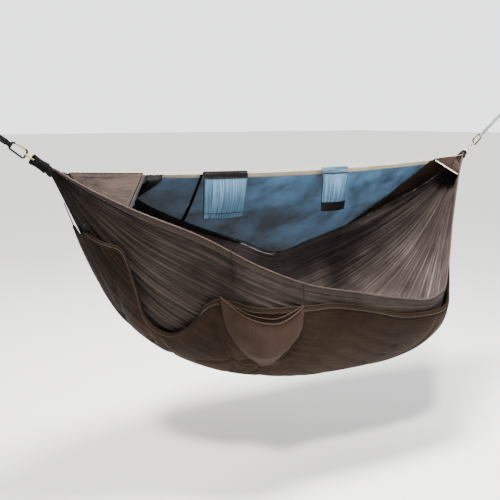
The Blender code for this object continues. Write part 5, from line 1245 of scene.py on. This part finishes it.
def netFlat(points):
    across = np.linalg.norm(np.diff(points[:, 0], axis=0), axis=1).sum()
    bottom = np.linalg.norm(np.diff(points[:, -1], axis=0), axis=1).sum()
    down = max(np.linalg.norm(np.diff(row, axis=0), axis=1).sum() for row in points)
    return round(float(max(across, bottom) * 1.04), 3), round(float(down * 1.04), 3)


def netUv(item, points):
    # Threads that stay square to each other although the panel tapers
    flat = np.stack([points[..., 0], np.cumsum(np.concatenate(
        [np.zeros((len(points), 1)), np.linalg.norm(np.diff(points, axis=1), axis=-1)], axis=1), axis=1)], axis=-1)
    picks = np.empty(len(item.data.loops), int)
    item.data.loops.foreach_get("vertex_index", picks)
    return flat.reshape(-1, 2)[picks].astype(np.float32).ravel()


def capPoints(top, near, far, side, down, sag):
    crest = ridgePoint(top) - np.array((0, 0, netting["capReveal"]))
    high = crest if side < 0 or down == 0 else netTop(top)
    low = hemSeat(near, "near", crest) if side < 0 else hemSeat(far, "far", netTop(top))
    return high + down * (low - high) - np.array((0, 0, 4 * sag * down * (1 - down)))


def makeCap(name, edges, tip, node, seed):
    columns = np.concatenate([[0, 0.015, 0.04], np.linspace(0.06, 1, 34)])
    spots = [(-1, down) for down in columns[::-1]] + [(1, down) for down in columns[1:]]
    rings = []
    for row in range(41):
        t = row / 40
        shares = [edge + t * (tip - edge) for edge in edges]
        sag = netting["capSag"] * sin(pi * t)
        rings.append([capPoints(*shares, side, down, sag) for side, down in spots])
    rings = np.array(rings)
    # Creases that run from the gather to the door edge
    t = np.linspace(0, 1, 41)[:, None]
    across = np.linspace(-1, 1, rings.shape[1])[None, :]
    normal = unit(np.cross(np.gradient(rings, axis=0), np.gradient(rings, axis=1)))
    hold = np.sin(pi * np.clip(np.abs(across), 0, 1)) * ease(t * 4) * ease((1 - t) * 3)
    depth = 0.009 * wander(across * 9 + 1.6 * t, seed) + 0.004 * wander(across * 23 - 2 * t, seed + 2)
    rings = rings - (hold * (np.abs(depth) + 0.001))[..., None] * np.where(normal[..., 2:] > 0, normal, -normal)
    cap = skin(name, rings, 0.9, 0.45)
    dress(cap, "capNylon", replaced=(node,), wall=0.0010, offset=-0.5)
    clothArea(cap)
    return rings


def makeCaps():
    footRings = makeCap("footCap", netting["footCap"], netting["capStart"], "foot_end_cap", 3)
    headRings = makeCap("headCap", netting["headCap"], netting["capEnd"], "head_end_cap", 5)
    for name, rings in (("foot", footRings), ("head", headRings)):
        # Two stitched lines along the door edge and one over the ridge
        lift = np.array((0, 0, 0.0009))
        rows = [rings[1] + lift, rings[2] + lift]
        stitches(name + "CapStitches", rows, "darkThread", pitch=0.007, length=0.005, radius=0.0006)
        crest = rings[:, 36] + np.array((0, 0, 0.0012))
        dress(tube(name + "CapRidgeSeam", resampled(crest[:-1], 80), 0.0016, 8), "blackTrim")
    half = np.array((0, 0, 0.0012))
    seam = [headRings[int(k)][8 + int(k * 0.5)] + half for k in np.linspace(0, 38, 39)]
    dress(tube("headCapSeam", resampled(curved(seam, 3), 120), 0.0021, 8), "blackTrim")
    print("end caps")


# Zip down the foot cap's door edge, and the head cap's pale edge

zipper = {"tapeWidth": 0.014, "tape": 0.0015, "teethPitch": 0.0028, "rest": 0.10, "pullLength": 0.042,
          "pullRadius": 0.0022, "bead": 0.0042, "edgeBand": 0.012}


def doorEdge(top, near, far, away):
    crest = capPoints(top, near, far, -1, 0.04, 0)
    low = capPoints(top, near, far, -1, 1.0, 0)
    climb = unit(crest - low)
    sideways = np.array((away, 0, 0), float)
    sideways = unit(sideways - sideways.dot(climb) * climb)
    outside = unit(np.cross(climb, sideways))
    outside = outside if outside[1] < 0 else -outside

    def place(along, across, out):
        along, across, out = (np.asarray(part, float)[..., None] for part in (along, across, out))
        return low + along * climb + (across + 0.0008) * sideways + (out - 0.00075) * outside
    return place, float(np.linalg.norm(crest - low))


def makeZip():
    place, length = doorEdge(*netting["footCap"], 1)
    along = np.linspace(0.004, length, 70)[:, None]
    across = np.linspace(0, zipper["tapeWidth"], 6)[None, :]
    dress(skin("zipTape", place(along, across, 0 * along * across), zipper["tapeWidth"], length), "zipBlack",
          replaced=("zip_tape",), wall=zipper["tape"])
    spots = np.linspace(0.006, length - 0.002, 90)
    edge = 0 * spots + zipper["tapeWidth"]
    teeth = grow("zipTeeth", lineObject("zipTeethLine", [place(spots, edge, 0 * spots)]), "beadRow", "zipBlack",
                 Pitch=zipper["teethPitch"], Length=0.0018, Radius=0.0015)
    dress(teeth, "zipBlack")
    stitches("zipStitches", [place(spots, 0 * spots + 0.0035, 0 * spots + 0.0010)], "paleThread", pitch=0.006,
             length=0.0042, radius=0.0005)
    rest = zipper["rest"] * length
    hinge = place(rest + 0.006, zipper["tapeWidth"] + 0.0006 + 0.00275 + 0.0003 + zipper["pullRadius"], 0.0)
    spots = np.linspace(0, 1, 60)
    swell = zipper["pullRadius"] * (0.55 + 0.03 * np.sin(spots * 170))
    swell = np.where(spots > 0.68, np.interp(spots, (0.68, 0.72, 0.80, 0.92, 1), (0.0017, 0.0028, 0.0042, 0.0042, 0.0026)), swell)
    path = hinge + spots[:, None] * np.array((0, 0, -zipper["pullLength"]))
    dress(tube("zipPullCord", path, swell, 14), "zipBlack", body="zip_pull", replaced=("zip_pull",))
    place, length = doorEdge(*netting["headCap"], -1)
    along = np.linspace(0.004, length, 70)[:, None]
    across = np.linspace(0, zipper["edgeBand"], 6)[None, :]
    ripple = 0.0004 * wander(along * 120, 3) + 0 * across
    dress(skin("headCapEdge", place(along, across + 0 * along, ripple), zipper["edgeBand"], length), "paleTape",
          replaced=("head_cap_edge",), wall=0.0014)
    spots = along[:, 0]
    stitches("headEdgeStitches", [place(spots, 0 * spots + share * zipper["edgeBand"], 0 * spots + 0.0010)
                                  for share in (0.15, 0.85)], "darkThread", pitch=0.006, length=0.0042, radius=0.0005)
    print("zip and door edges")


# Stowed door net, rolled along the foot seam and the far hem

roll = {"radius": 0.034, "folds": 5, "foldDepth": 0.0060, "fine": 17, "fineDepth": 0.0022, "sides": 120}


def bundleStations():
    down = np.array((0, 0, -1.25 * roll["radius"]))
    seat = netting["tapeOffset"] - 0.0015 - 0.14 * roll["radius"] - 0.0003
    stations = [(ridgePoint(0.186) + np.array((0, seat, -1.6 * netting["tapeDrop"])), 1.55, 0.14),
                (ridgePoint(0.187) + np.array((0, 0.4, -1.3)) * roll["radius"], 1.15, 0.45),
                (netPoint(0.188, 0.28) + down, 0.72, 0.62), (netPoint(0.190, 0.50) + down, 0.74, 0.74),
                (netPoint(0.197, 0.70) + down, 0.80, 0.78)]
    for share, size in ((0.235, 0.72), (0.285, 0.60), (0.34, 0.48), (0.40, 0.36), (0.455, 0.26), (0.50, 0.18)):
        stations.append((hemPoint(share, "far") + np.array((0, -1.53, -0.67)) * size * roll["radius"], size, size))
    return stations


def makeBundle():
    stations = bundleStations()
    steps = 22
    route = curved([spot for spot, wide, deep in stations], steps)
    sizes = curved([(wide, deep, 0) for spot, wide, deep in stations], steps)
    ahead = unit(np.gradient(route, axis=0))
    turned = np.clip((np.arange(len(route)) / steps - 3) / 2, 0, 1)[:, None]
    side = (1 - turned) * np.array((1.0, 0, 0)) + turned * np.cross(ahead, (0, 0, 1))
    side = unit(side - (side * ahead).sum(-1, keepdims=True) * ahead)
    other = unit(np.cross(ahead, side))
    turn = np.arange(roll["sides"]) * 2 * pi / roll["sides"]
    along = np.linspace(0, 1, len(route))[:, None]
    fold = roll["foldDepth"] * (1 - np.cos(roll["folds"] * turn)[None, :]) / 2
    fine = roll["fineDepth"] * (0.5 + 0.5 * np.sin(roll["fine"] * turn[None, :] + 5 * np.sin(along * 11)
                                                  + 2 * wander(along * 30, 4)))
    crush = 0.0022 * (0.5 + 0.5 * wander(along * 55 + 2 * np.sin(turn)[None, :], 6))
    scale = 1 - (fold + (fine + crush) * ease(sizes[:, :1] * 2.2)) / roll["radius"]
    wide = roll["radius"] * sizes[:, :1] * scale
    deep = roll["radius"] * sizes[:, 1:2] * scale
    rings = (route[:, None] + (wide * np.cos(turn))[..., None] * side[:, None]
             + (deep * np.sin(turn))[..., None] * other[:, None])
    dress(skin("stowedNet", rings, 0.24, 1.9, closed=True, caps=True), "bundleNet", replaced=("net_bundle",))
    # The tie goes round the roll once
    tie = int(5 / 2 * steps)
    spread = np.linspace(-0.006, 0.006, 5)
    turn2 = np.linspace(0, 2 * pi, 60)
    grip = 0.0014 + roll["radius"] * np.array([sizes[tie, 0], sizes[tie, 1]])
    dent = 1 - roll["foldDepth"] * 0.55 * (1 - np.cos(roll["folds"] * turn2)) / 2 / roll["radius"]
    loop = (route[tie] + (grip[0] * dent * np.cos(turn2))[:, None] * side[tie]
            + (grip[1] * dent * np.sin(turn2))[:, None] * other[tie])
    rings = loop[:, None] + spread[None, :, None] * ahead[tie]
    dress(skin("netTie", rings, 0.012, 0.2), "blackTrim", replaced=("bundle_tie",), wall=0.0016)
    print("stowed net")


# Organizers on the ridgeline

organizers = {"organizer_a": (0.3356, 0.262, 0.195, 0.024, "blackTrim", "bagNet"),
              "organizer_b": (0.6048, 0.186, 0.205, 0.048, "bagNet", "blackTrim")}
band = {"bore": 0.0050, "wall": 0.0015, "drop": 0.028, "slack": 0.0010, "pleat": 0.0085, "pleatDepth": 0.0026,
        "lean": 0.125, "bagWall": 0.0015, "mouth": 0.020, "belly": 0.045, "rim": 0.0022, "floor": 0.030}


def makeOrganizer(name, share, width, hangs, baseHeight, bandCloth, baseCloth):
    middle = ridgePoint(share)
    run = unit(ridgePoint(share + 1e-3) - ridgePoint(share - 1e-3))
    upward = unit(np.cross(run, (0, 1, 0)))
    upward = upward if upward[2] > 0 else -upward
    middle = middle - (band["bore"] - 0.0015 - band["slack"]) * upward
    tag = name.replace("_", "").replace("organizera", "organizerA").replace("organizerb", "organizerB")

    def place(along, across, up):
        along, across, up = (np.asarray(part, float)[..., None] for part in (along, across, up))
        return middle + along * run + across * np.array((0, 1.0, 0)) + up * upward

    outside = band["bore"] + band["wall"]
    centre = band["bore"] + band["wall"] / 2
    # Band section: up the skirt, over the ridgeline and back to the skirt
    turn = np.linspace(pi, -pi + 0.25, 26)
    section = ([(-outside + band["wall"] / 2, -band["drop"] + k * band["drop"] / 8) for k in range(8)]
               + [(centre * cos(angle), centre * sin(angle)) for angle in turn])
    section = np.array(section)
    along = np.linspace(-width / 2, width / 2, int(width / band["pleat"] * 10))
    wave = band["pleatDepth"] * np.sin(along / band["pleat"] * 2 * pi + 0.8 * np.sin(along * 90))
    lowest = np.clip(-section[:, 1] / band["drop"], 0, 1)
    push = wave[:, None] * (0.25 + 0.75 * lowest)[None, :]
    rings = place(along[:, None], section[None, :, 0] - np.where(lowest > 0, push, 0), section[None, :, 1] + 0 * push)
    dress(skin(tag + "Band", rings, 0.06, width), bandCloth, body=name, replaced=(name + "_band",), wall=0.0013)
    rows = [place(along, 0 * along - outside - 0.0009, 0 * along - share2 * band["drop"]) for share2 in (0.12, 0.9)]
    stitches(tag + "BandStitches", rows, "paleThread", body=name, pitch=0.006, length=0.0042, radius=0.0005)

    back, top = -outside + band["wall"], -band["drop"] - 0.0003
    bagWidth = width - 2 * band["wall"]

    def bagPoint(across, depth, down):
        lean = band["lean"] * down * hangs
        return place((across - 0.5) * bagWidth * (1 - 0.10 * down), back + lean - depth, top - down * hangs)

    def belly(across, down):
        swell = band["mouth"] + (band["belly"] - band["mouth"]) * np.sin(pi * np.clip(0.15 + 0.85 * down, 0, 1))
        return 4 * band["bagWall"] + swell * np.sin(pi * across) ** 0.6

    down = np.linspace(0, 1, 46)[:, None]
    across = np.linspace(0, 1, 61)[None, :]
    gather = 0.0030 * (0.5 + 0.5 * np.sin(across * bagWidth / 0.0085 * 2 * pi)) * np.exp(-down / 0.35)
    gather = gather * ease(across * 12) * ease((1 - across) * 12)
    slack = 0.0025 * wander(across * 17 + 2 * down, 4) * np.sin(pi * down)
    front = bagPoint(across, np.maximum(belly(across, down) - gather - np.abs(slack), 0.0016), down)
    rear = bagPoint(across, 0.0006 + 0 * across * down, down)
    ring = np.concatenate([rear, front[:, ::-1]], axis=1)
    bag = skin(tag + "Bag", ring, 2 * bagWidth, hangs, closed=True)
    last = (len(ring) - 1) * ring.shape[1]
    count, half = ring.shape[1], rear.shape[1]
    shape = bmesh.new()
    shape.from_mesh(bag.data)
    shape.verts.ensure_lookup_table()
    for k in range(half - 1):
        shape.faces.new([shape.verts[last + corner] for corner in (k, k + 1, count - 2 - k, count - 1 - k)]).smooth = True
    shape.to_mesh(bag.data)
    shape.free()
    dress(bag, "bagNet", body=name + "_bag", replaced=(name + "_bag",))
    # Cloth base outside the net, with a bound top edge
    low = np.linspace(1 - baseHeight / hangs, 1, 14)[:, None]
    outer = bagPoint(across, np.maximum(belly(across, low), 0.0016) + 0.0007, low)
    inner = bagPoint(across, -0.0002 + 0 * across * low, low)
    skirt = np.concatenate([inner, outer[:, ::-1]], axis=1)
    floorRing = skirt[-1:].mean(axis=1, keepdims=True) + 0.6 * (skirt[-1:] - skirt[-1:].mean(axis=1, keepdims=True))
    floorRing = floorRing - 0.0030 * upward
    tip = floorRing.mean(axis=1, keepdims=True) + 0.05 * (floorRing - floorRing.mean(axis=1, keepdims=True))
    base = skin(tag + "Base", np.concatenate([skirt, floorRing, tip]), 2 * bagWidth, baseHeight, closed=True)
    dress(base, baseCloth, body=name + "_bag", replaced=(name + "_base",), wall=0.0008)
    shares = np.linspace(0, 1, 90)
    rimPath = bagPoint(shares, np.maximum(belly(shares, 0) - 0.00075, 0.0016), 0 * shares) + 0.0018 * upward
    rim = tube(tag + "Rim", rimPath, band["rim"] * (0.95 + 0.12 * np.sin(np.arange(90) * 2 * pi / 3.1)), 10)
    dress(rim, "blackTrim", body=name + "_bag", replaced=(name + "_rim",))
    for side, share3 in (("Left", 0.0), ("Right", 1.0)):
        rail = bagPoint(share3, 0.003 + 0 * shares, 0.035 + 0.965 * shares)  # clear of the band when the bag swings
        dress(tube(tag + side + "Seam", rail, 0.0030, 8), "blackTrim", body=name + "_bag")
    ring2 = bagPoint(shares, np.maximum(belly(shares, low[0, 0]), 0.0016) + 0.001, low[0, 0] + 0 * shares)
    dress(tube(tag + "BaseEdge", ring2, 0.0014, 8), "blackTrim", body=name + "_bag")
    print(tag)


# Suspension at both ends

drawn = {"knuckle": 0.026, "neck": 0.015, "footNeck": 0.080, "headNeck": 0.052, "cord": 0.0015, "whippingWidth": 0.018,
         "footCord": 0.0034, "headCord": 0.0042, "belly": 0.006, "sleeveStart": 0.026, "sleeve": 0.072, "sleeveBore": 0.0186, "sleeveWall": 0.0015,
         "carabinerStart": 0.128, "carabinerLength": 0.084, "carabinerWide": 0.046, "carabinerNarrow": 0.038,
         "corner": 0.009, "rod": 0.004, "webbing": 0.0016, "webbingWidth": 0.025, "eyeWidth": 0.020,
         "stitched": 0.070, "twist": 0.430, "postRadius": 0.018, "throat": 0.042}


def suspensionPlace(end, start=0.0):
    way = -1 if end == "foot" else 1
    rise = np.array((way * cos(hang["angle"]), 0, sin(hang["angle"])))
    square = np.array((-way * sin(hang["angle"]), 0, cos(hang["angle"])))
    base = foot if end == "foot" else head

    def place(along, across, up):
        along, across, up = (np.asarray(part, float)[..., None] for part in (along, across, up))
        return base + (start + along) * rise + across * np.array((0, 1.0, 0)) + up * square
    return place


def makeGather(end):
    neck = drawn["footNeck"] if end == "foot" else drawn["headNeck"]
    place = suspensionPlace(end)
    sides = 96
    turn = np.arange(sides) * 2 * pi / sides
    shoulder = drawn["knuckle"] * tan(hang["angle"]) + 0.002
    outward = np.array((-1.0 if end == "foot" else 1.0, 0, 0))
    start = (foot if end == "foot" else head) + 0.0003 * outward
    pleats = 0.5 + 0.5 * np.cos(15 * turn + 0.6 * np.sin(4 * turn))
    rings = []
    for k in range(34):
        t = k / 33
        along = shoulder * min(1, t / 0.35) + max(0, (t - 0.35) / 0.65) * (neck - shoulder)
        radius = float(np.interp(t, (0, 0.12, 0.35, 0.55, 0.94, 1), (0.022, drawn["knuckle"], drawn["neck"] + 0.002,
                                                                    drawn["neck"] - 0.0004, drawn["neck"] - 0.0004, 0.011)))
        depth = 0.0042 * ease(1.15 - t * 1.3) + 0.0006
        across = (radius - depth * pleats)
        flat = start + across[:, None] * (np.cos(turn)[:, None] * np.array((0, 1.0, 0)) + np.sin(turn)[:, None] * np.array((0, 0, 1.0)))
        bent = place(along, across * np.cos(turn), across * np.sin(turn))
        mix = ease(t / 0.35)
        ring = (1 - mix) * (flat + along * outward * 0.6) + mix * bent
        ring[:, 0] = np.minimum(ring[:, 0], foot[0] - 0.0003) if end == "foot" else np.maximum(ring[:, 0], head[0] + 0.0003)
        rings.append(ring)
    dress(skin(end + "Neck", rings, 0.1, neck, closed=True, caps=True), "shellNylon", replaced=(end + "_gather",))
    # Whipping: cord wound side by side round the neck
    middle = neck - 0.004 - drawn["whippingWidth"] / 2
    turns = 6
    angle = np.linspace(0, 2 * pi * turns, 48 * turns)
    reach = middle + (angle / angle[-1] - 0.5) * (drawn["whippingWidth"] - 2 * drawn["cord"])
    radius = drawn["neck"] + 0.0003 + drawn["cord"]
    path = place(reach, radius * np.cos(angle), radius * np.sin(angle))
    finish = "paleRope" if end == "head" else "yellowCord"
    dress(tube(end + "WhippingCord", path, drawn["cord"], 10), finish, replaced=(end + "_whipping",))
    return neck, middle


def makeLoop(end, neck):
    place = suspensionPlace(end)
    thick = drawn[end + "Cord"]
    bend = 1.22 * drawn["rod"] + thick + 0.0003
    bar = drawn["carabinerStart"] + drawn["rod"]
    leg = thick + 0.0002
    start = neck + 0.0003
    straight = bar - bend - start
    twists, bulge = (2, drawn["belly"]) if end == "head" else (0, 0.0)
    first = []
    for k in range(36):
        share = k / 36
        spread = leg + (bend - leg) * max(0, 2 * share - 1) ** 2 + bulge * sin(pi * share)
        angle = pi * twists * min(1, max(0, share - 1 / 15) * 5 / 4)
        first.append((start + share * (straight + bend), spread * cos(angle), spread * sin(angle)))
    turn = np.linspace(0, pi, 26)
    arc = [(bar + bend * sin(angle), bend * cos(angle), 0) for angle in turn]
    route = np.array(first + arc + [(along, -across, -up) for along, across, up in reversed(first)])
    path = resampled(place(route[:, 0], route[:, 1], route[:, 2]), 260)
    if end == "head":
        pale = rope("headRopePale", path, "paleRope", strands=2, pitch=0.026, layRadius=0.0019, strandRadius=0.0023)
        dress(pale, "paleRope", replaced=("head_loop",))
        dark = rope("headRopeDark", path, "darkRope", strands=2, pitch=0.026, layRadius=0.0021, strandRadius=0.0018,
                    phase=0.25)
        dress(dark, "darkRope")
    else:
        cord = rope("footRope", path, "yellowCord", strands=3, pitch=0.015, layRadius=0.0016, strandRadius=0.0018)
        dress(cord, "yellowCord", replaced=("foot_loop",))


def makeSleeve():
    place = suspensionPlace("foot")
    sides = 72
    turn = np.arange(sides) * 2 * pi / sides
    rings = []
    for k in range(46):
        share = k / 45
        reach = drawn["sleeveStart"] + share * drawn["sleeve"]
        flare = 0.003 * (1 - 2 * share) ** 2
        dent = 0.0011 * wander(np.cos(turn) * 5 + share * 7, 4) + 0.0007 * np.sin(9 * turn + 3 * share)
        radius = drawn["sleeveBore"] + drawn["sleeveWall"] / 2 + flare + np.maximum(dent, -0.0002)
        rings.append(place(reach, radius * np.cos(turn), radius * np.sin(turn)))
    dress(skin("footSleeve", rings, 0.12, drawn["sleeve"], closed=True), "blackWebbing", body="foot_sleeve",
          replaced=("foot_sleeve",), wall=0.0015)
    for name, share in (("Inner", 0.0), ("Outer", 1.0)):
        reach = drawn["sleeveStart"] + share * drawn["sleeve"]
        radius = drawn["sleeveBore"] + drawn["sleeveWall"] / 2 + 0.003 + 0.0002
        angle = np.linspace(0, 2 * pi, 90)
        path = place(reach + 0 * angle, radius * np.cos(angle), radius * np.sin(angle))
        dress(tube("footSleeve" + name + "Hem", path, 0.0014, 8), "blackTrim", body="foot_sleeve")


def roundedCorners(corners, radius, steps):
    corners = [Vector(corner) for corner in corners]
    path = [corners[0]]
    for before, corner, after in zip(corners, corners[1:], corners[2:]):
        back, ahead = (before - corner).normalized(), (after - corner).normalized()
        half = acos(max(-1, min(1, back.dot(ahead)))) / 2
        centre = corner + (back + ahead).normalized() * radius / sin(half)
        start = corner + back * radius / tan(half) - centre
        stop = corner + ahead * radius / tan(half) - centre
        sweep = pi - 2 * half
        for k in range(steps + 1):
            t = k / steps
            path.append(centre + (start * sin((1 - t) * sweep) + stop * sin(t * sweep)) / sin(sweep))
    path.append(corners[-1])
    return path


def makeCarabiner(end):
    place = suspensionPlace(end, drawn["carabinerStart"])
    rod = drawn["rod"]
    wide, narrow = drawn["carabinerWide"] / 2 - rod, drawn["carabinerNarrow"] / 2 - rod
    far = drawn["carabinerLength"] - rod
    slope = (narrow - wide) / (far - rod)
    nose = Vector((rod + 0.013, wide + slope * 0.013, 0))
    pivot = Vector((far - 0.014, narrow - slope * 0.014, 0))
    path = roundedCorners([nose, (rod, wide, 0), (rod, -wide, 0), (far, -narrow, 0), (far, narrow, 0), pivot],
                          drawn["corner"], 14)
    gateRun = (pivot - nose).normalized()
    lead = [nose + gateRun * distance for distance in (0.009, 0.0086, 0.0030, 0.0003, -0.0004)]
    tail = [pivot - gateRun * distance for distance in (-0.0004, 0.0003, 0.0030, 0.0086, 0.009)]
    path = lead + path[1:-1] + tail
    sides = 28
    rings = []
    for index, spot in enumerate(path):
        ahead = (path[min(len(path) - 1, index + 1)] - path[max(0, index - 1)]).normalized()
        normal = Vector((-ahead.y, ahead.x, 0))
        flat = index < 4 or index > len(path) - 5
        tip = index in (0, len(path) - 1)
        depth = (0.0015 if flat else rod) * (0.8 if tip else 1)
        height = rod * (0.80 if flat else 1.10) * (0.8 if tip else 1)
        turn = (np.arange(sides) + 0.5) * 2 * pi / sides
        lift = np.clip(1.12 * np.sin(turn), -1, 1)
        rings.append(place(spot.x + height * np.cos(turn) * normal.x, depth * lift,
                           spot.y + height * np.cos(turn) * normal.y))
    frameMesh = skin(end + "CarabinerFrame", rings, 0.025, 0.25, closed=True, caps=True)
    dress(frameMesh, "blackAnodised", replaced=(end + "_carabiner_frame",), sharp=40)
    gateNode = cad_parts[end + "_gate"]
    gateNode.data.materials.clear()
    gateNode.data.materials.append(finishes["goldAnodised"])
    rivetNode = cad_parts[end + "_gate_rivet"]
    rivetNode.data.materials.clear()
    rivetNode.data.materials.append(finishes["rivetSteel"])


def ribbon(name, path, widths, thickness, square, length=None):
    # Flat strap swept along a path, with rounded edges
    path = np.asarray(path, float)
    ahead = unit(np.gradient(path, axis=0))
    normal = unit(np.cross(ahead, square))
    half = thickness / 2
    section = np.array([(-1, -0.55), (-0.97, -1), (-0.5, -1), (0, -1), (0.5, -1), (0.97, -1), (1, -0.55), (1, 0.55),
                        (0.97, 1), (0.5, 1), (0, 1), (-0.5, 1), (-0.97, 1), (-1, 0.55)])
    rings = (path[:, None] + (np.asarray(widths)[:, None] / 2 * section[None, :, 0])[..., None] * square
             + (half * section[None, :, 1])[..., None] * normal[:, None])
    run = np.linalg.norm(np.diff(path, axis=0), axis=1).sum()
    return skin(name, rings, 2 * float(np.max(widths)), length or run, closed=True, caps=True)


def makeStrap(end):
    place = suspensionPlace(end)
    square = place(0, 0, 1) - place(0, 0, 0)
    bar = drawn["carabinerStart"] + drawn["carabinerLength"] - drawn["rod"]
    layer = drawn["webbing"]
    grip = 1.22 * drawn["rod"] + 0.0003 + layer / 2
    throat = bar + 2 * (grip + layer / 2)
    stitched = throat + drawn["stitched"]
    eye = drawn["twist"]
    post = drawn["postRadius"] + layer / 2
    centre = hang["suspension"]
    postThroat = centre - drawn["throat"]
    flat = [(stitched, -layer / 2), (throat + 0.002, -layer / 2)]
    flat += [(bar - grip * cos(angle), grip * sin(angle)) for angle in np.linspace(-2.15, 2.15, 40)]
    flat += [(throat + 0.002, layer / 2), (stitched, layer / 2), (stitched + 0.006, 0.0), (eye - 0.004, 0.0),
             (eye + 0.003, layer / 2), (postThroat, layer / 2)]
    spread = pi - acos(min(1, post / drawn["throat"]))
    flat += [(centre + post * cos(angle), post * sin(angle)) for angle in np.linspace(spread, -spread, 60)]
    flat += [(postThroat, -layer / 2), (eye + 0.004, -layer / 2)]
    flat = np.array([(along, across, 0) for along, across in flat])
    flat = resampled(flat, 620)
    narrow = drawn["eyeWidth"] + (drawn["webbingWidth"] - drawn["eyeWidth"]) * ease((flat[:, 0] - throat + 0.001) / 0.012)
    path = place(flat[:, 0], flat[:, 1], 0 * flat[:, 0])
    finish = "blackWebbing" if end == "foot" else "greyWebbing"
    strap = ribbon(end + "Webbing", path, narrow, layer * 0.94, square)
    dress(strap, finish, body=None, replaced=(end + "_strap", end + "_anchor_eye"))
    tuple(place(eye, 0, 0).tolist())
    tuple(place(eye - 0.14, 0, 0).tolist())
    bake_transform(strap)
    # Box stitches where the strap is folded back on itself
    half = drawn["webbingWidth"] / 2 - 0.004
    for tag, low, high, body0 in (("Strap", throat + 0.016, stitched - 0.004, "hammock"),
                                  ("Eye", eye + 0.006, postThroat - 0.002, "anchors")):
        box = [(low, -half), (high, -half), (high, half), (low, half), (low, -half), (high, half), (high, -half), (low, half)]
        corners = np.array(box)
        lines = []
        for face in (-1, 1):
            dense = np.concatenate([np.linspace(a, b, 20)[:-1] for a, b in zip(corners, corners[1:])] + [corners[-1:]])
            lines.append(place(dense[:, 0], 0 * dense[:, 0] + face * (layer + 0.0001), dense[:, 1]))
        stitches(f"{end}{tag}Stitches", lines, "darkThread", body=body0, pitch=0.0034, length=0.0026, radius=0.0005)


def makeSuspension():
    for end in ("foot", "head"):
        neck, middle = makeGather(end)
        makeLoop(end, neck)
        makeCarabiner(end)
        makeStrap(end)
    makeSleeve()
    print("suspension")


def finishNodes():
    # CAD nodes that stay as they are get a finish with some life in it
    for name, finish in (("pocket_lock_barrel", "lockPlastic"), ("pocket_lock_plunger", "lockPlastic"),
                         ("quilt_lock_barrel", "lockPlastic"), ("quilt_lock_plunger", "lockPlastic"),
                         ("zip_slider", "zipBlack")):
        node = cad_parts[name]
        node.data.materials.clear()
        node.data.materials.append(finishes[finish])


makeStudio()
makeBody()
makeQuilt()
makePocket()
makeNet()
makeCaps()
makeZip()
makeBundle()
for organizerName, sizes in organizers.items():
    makeOrganizer(organizerName, *sizes)
makeSuspension()
finishNodes()
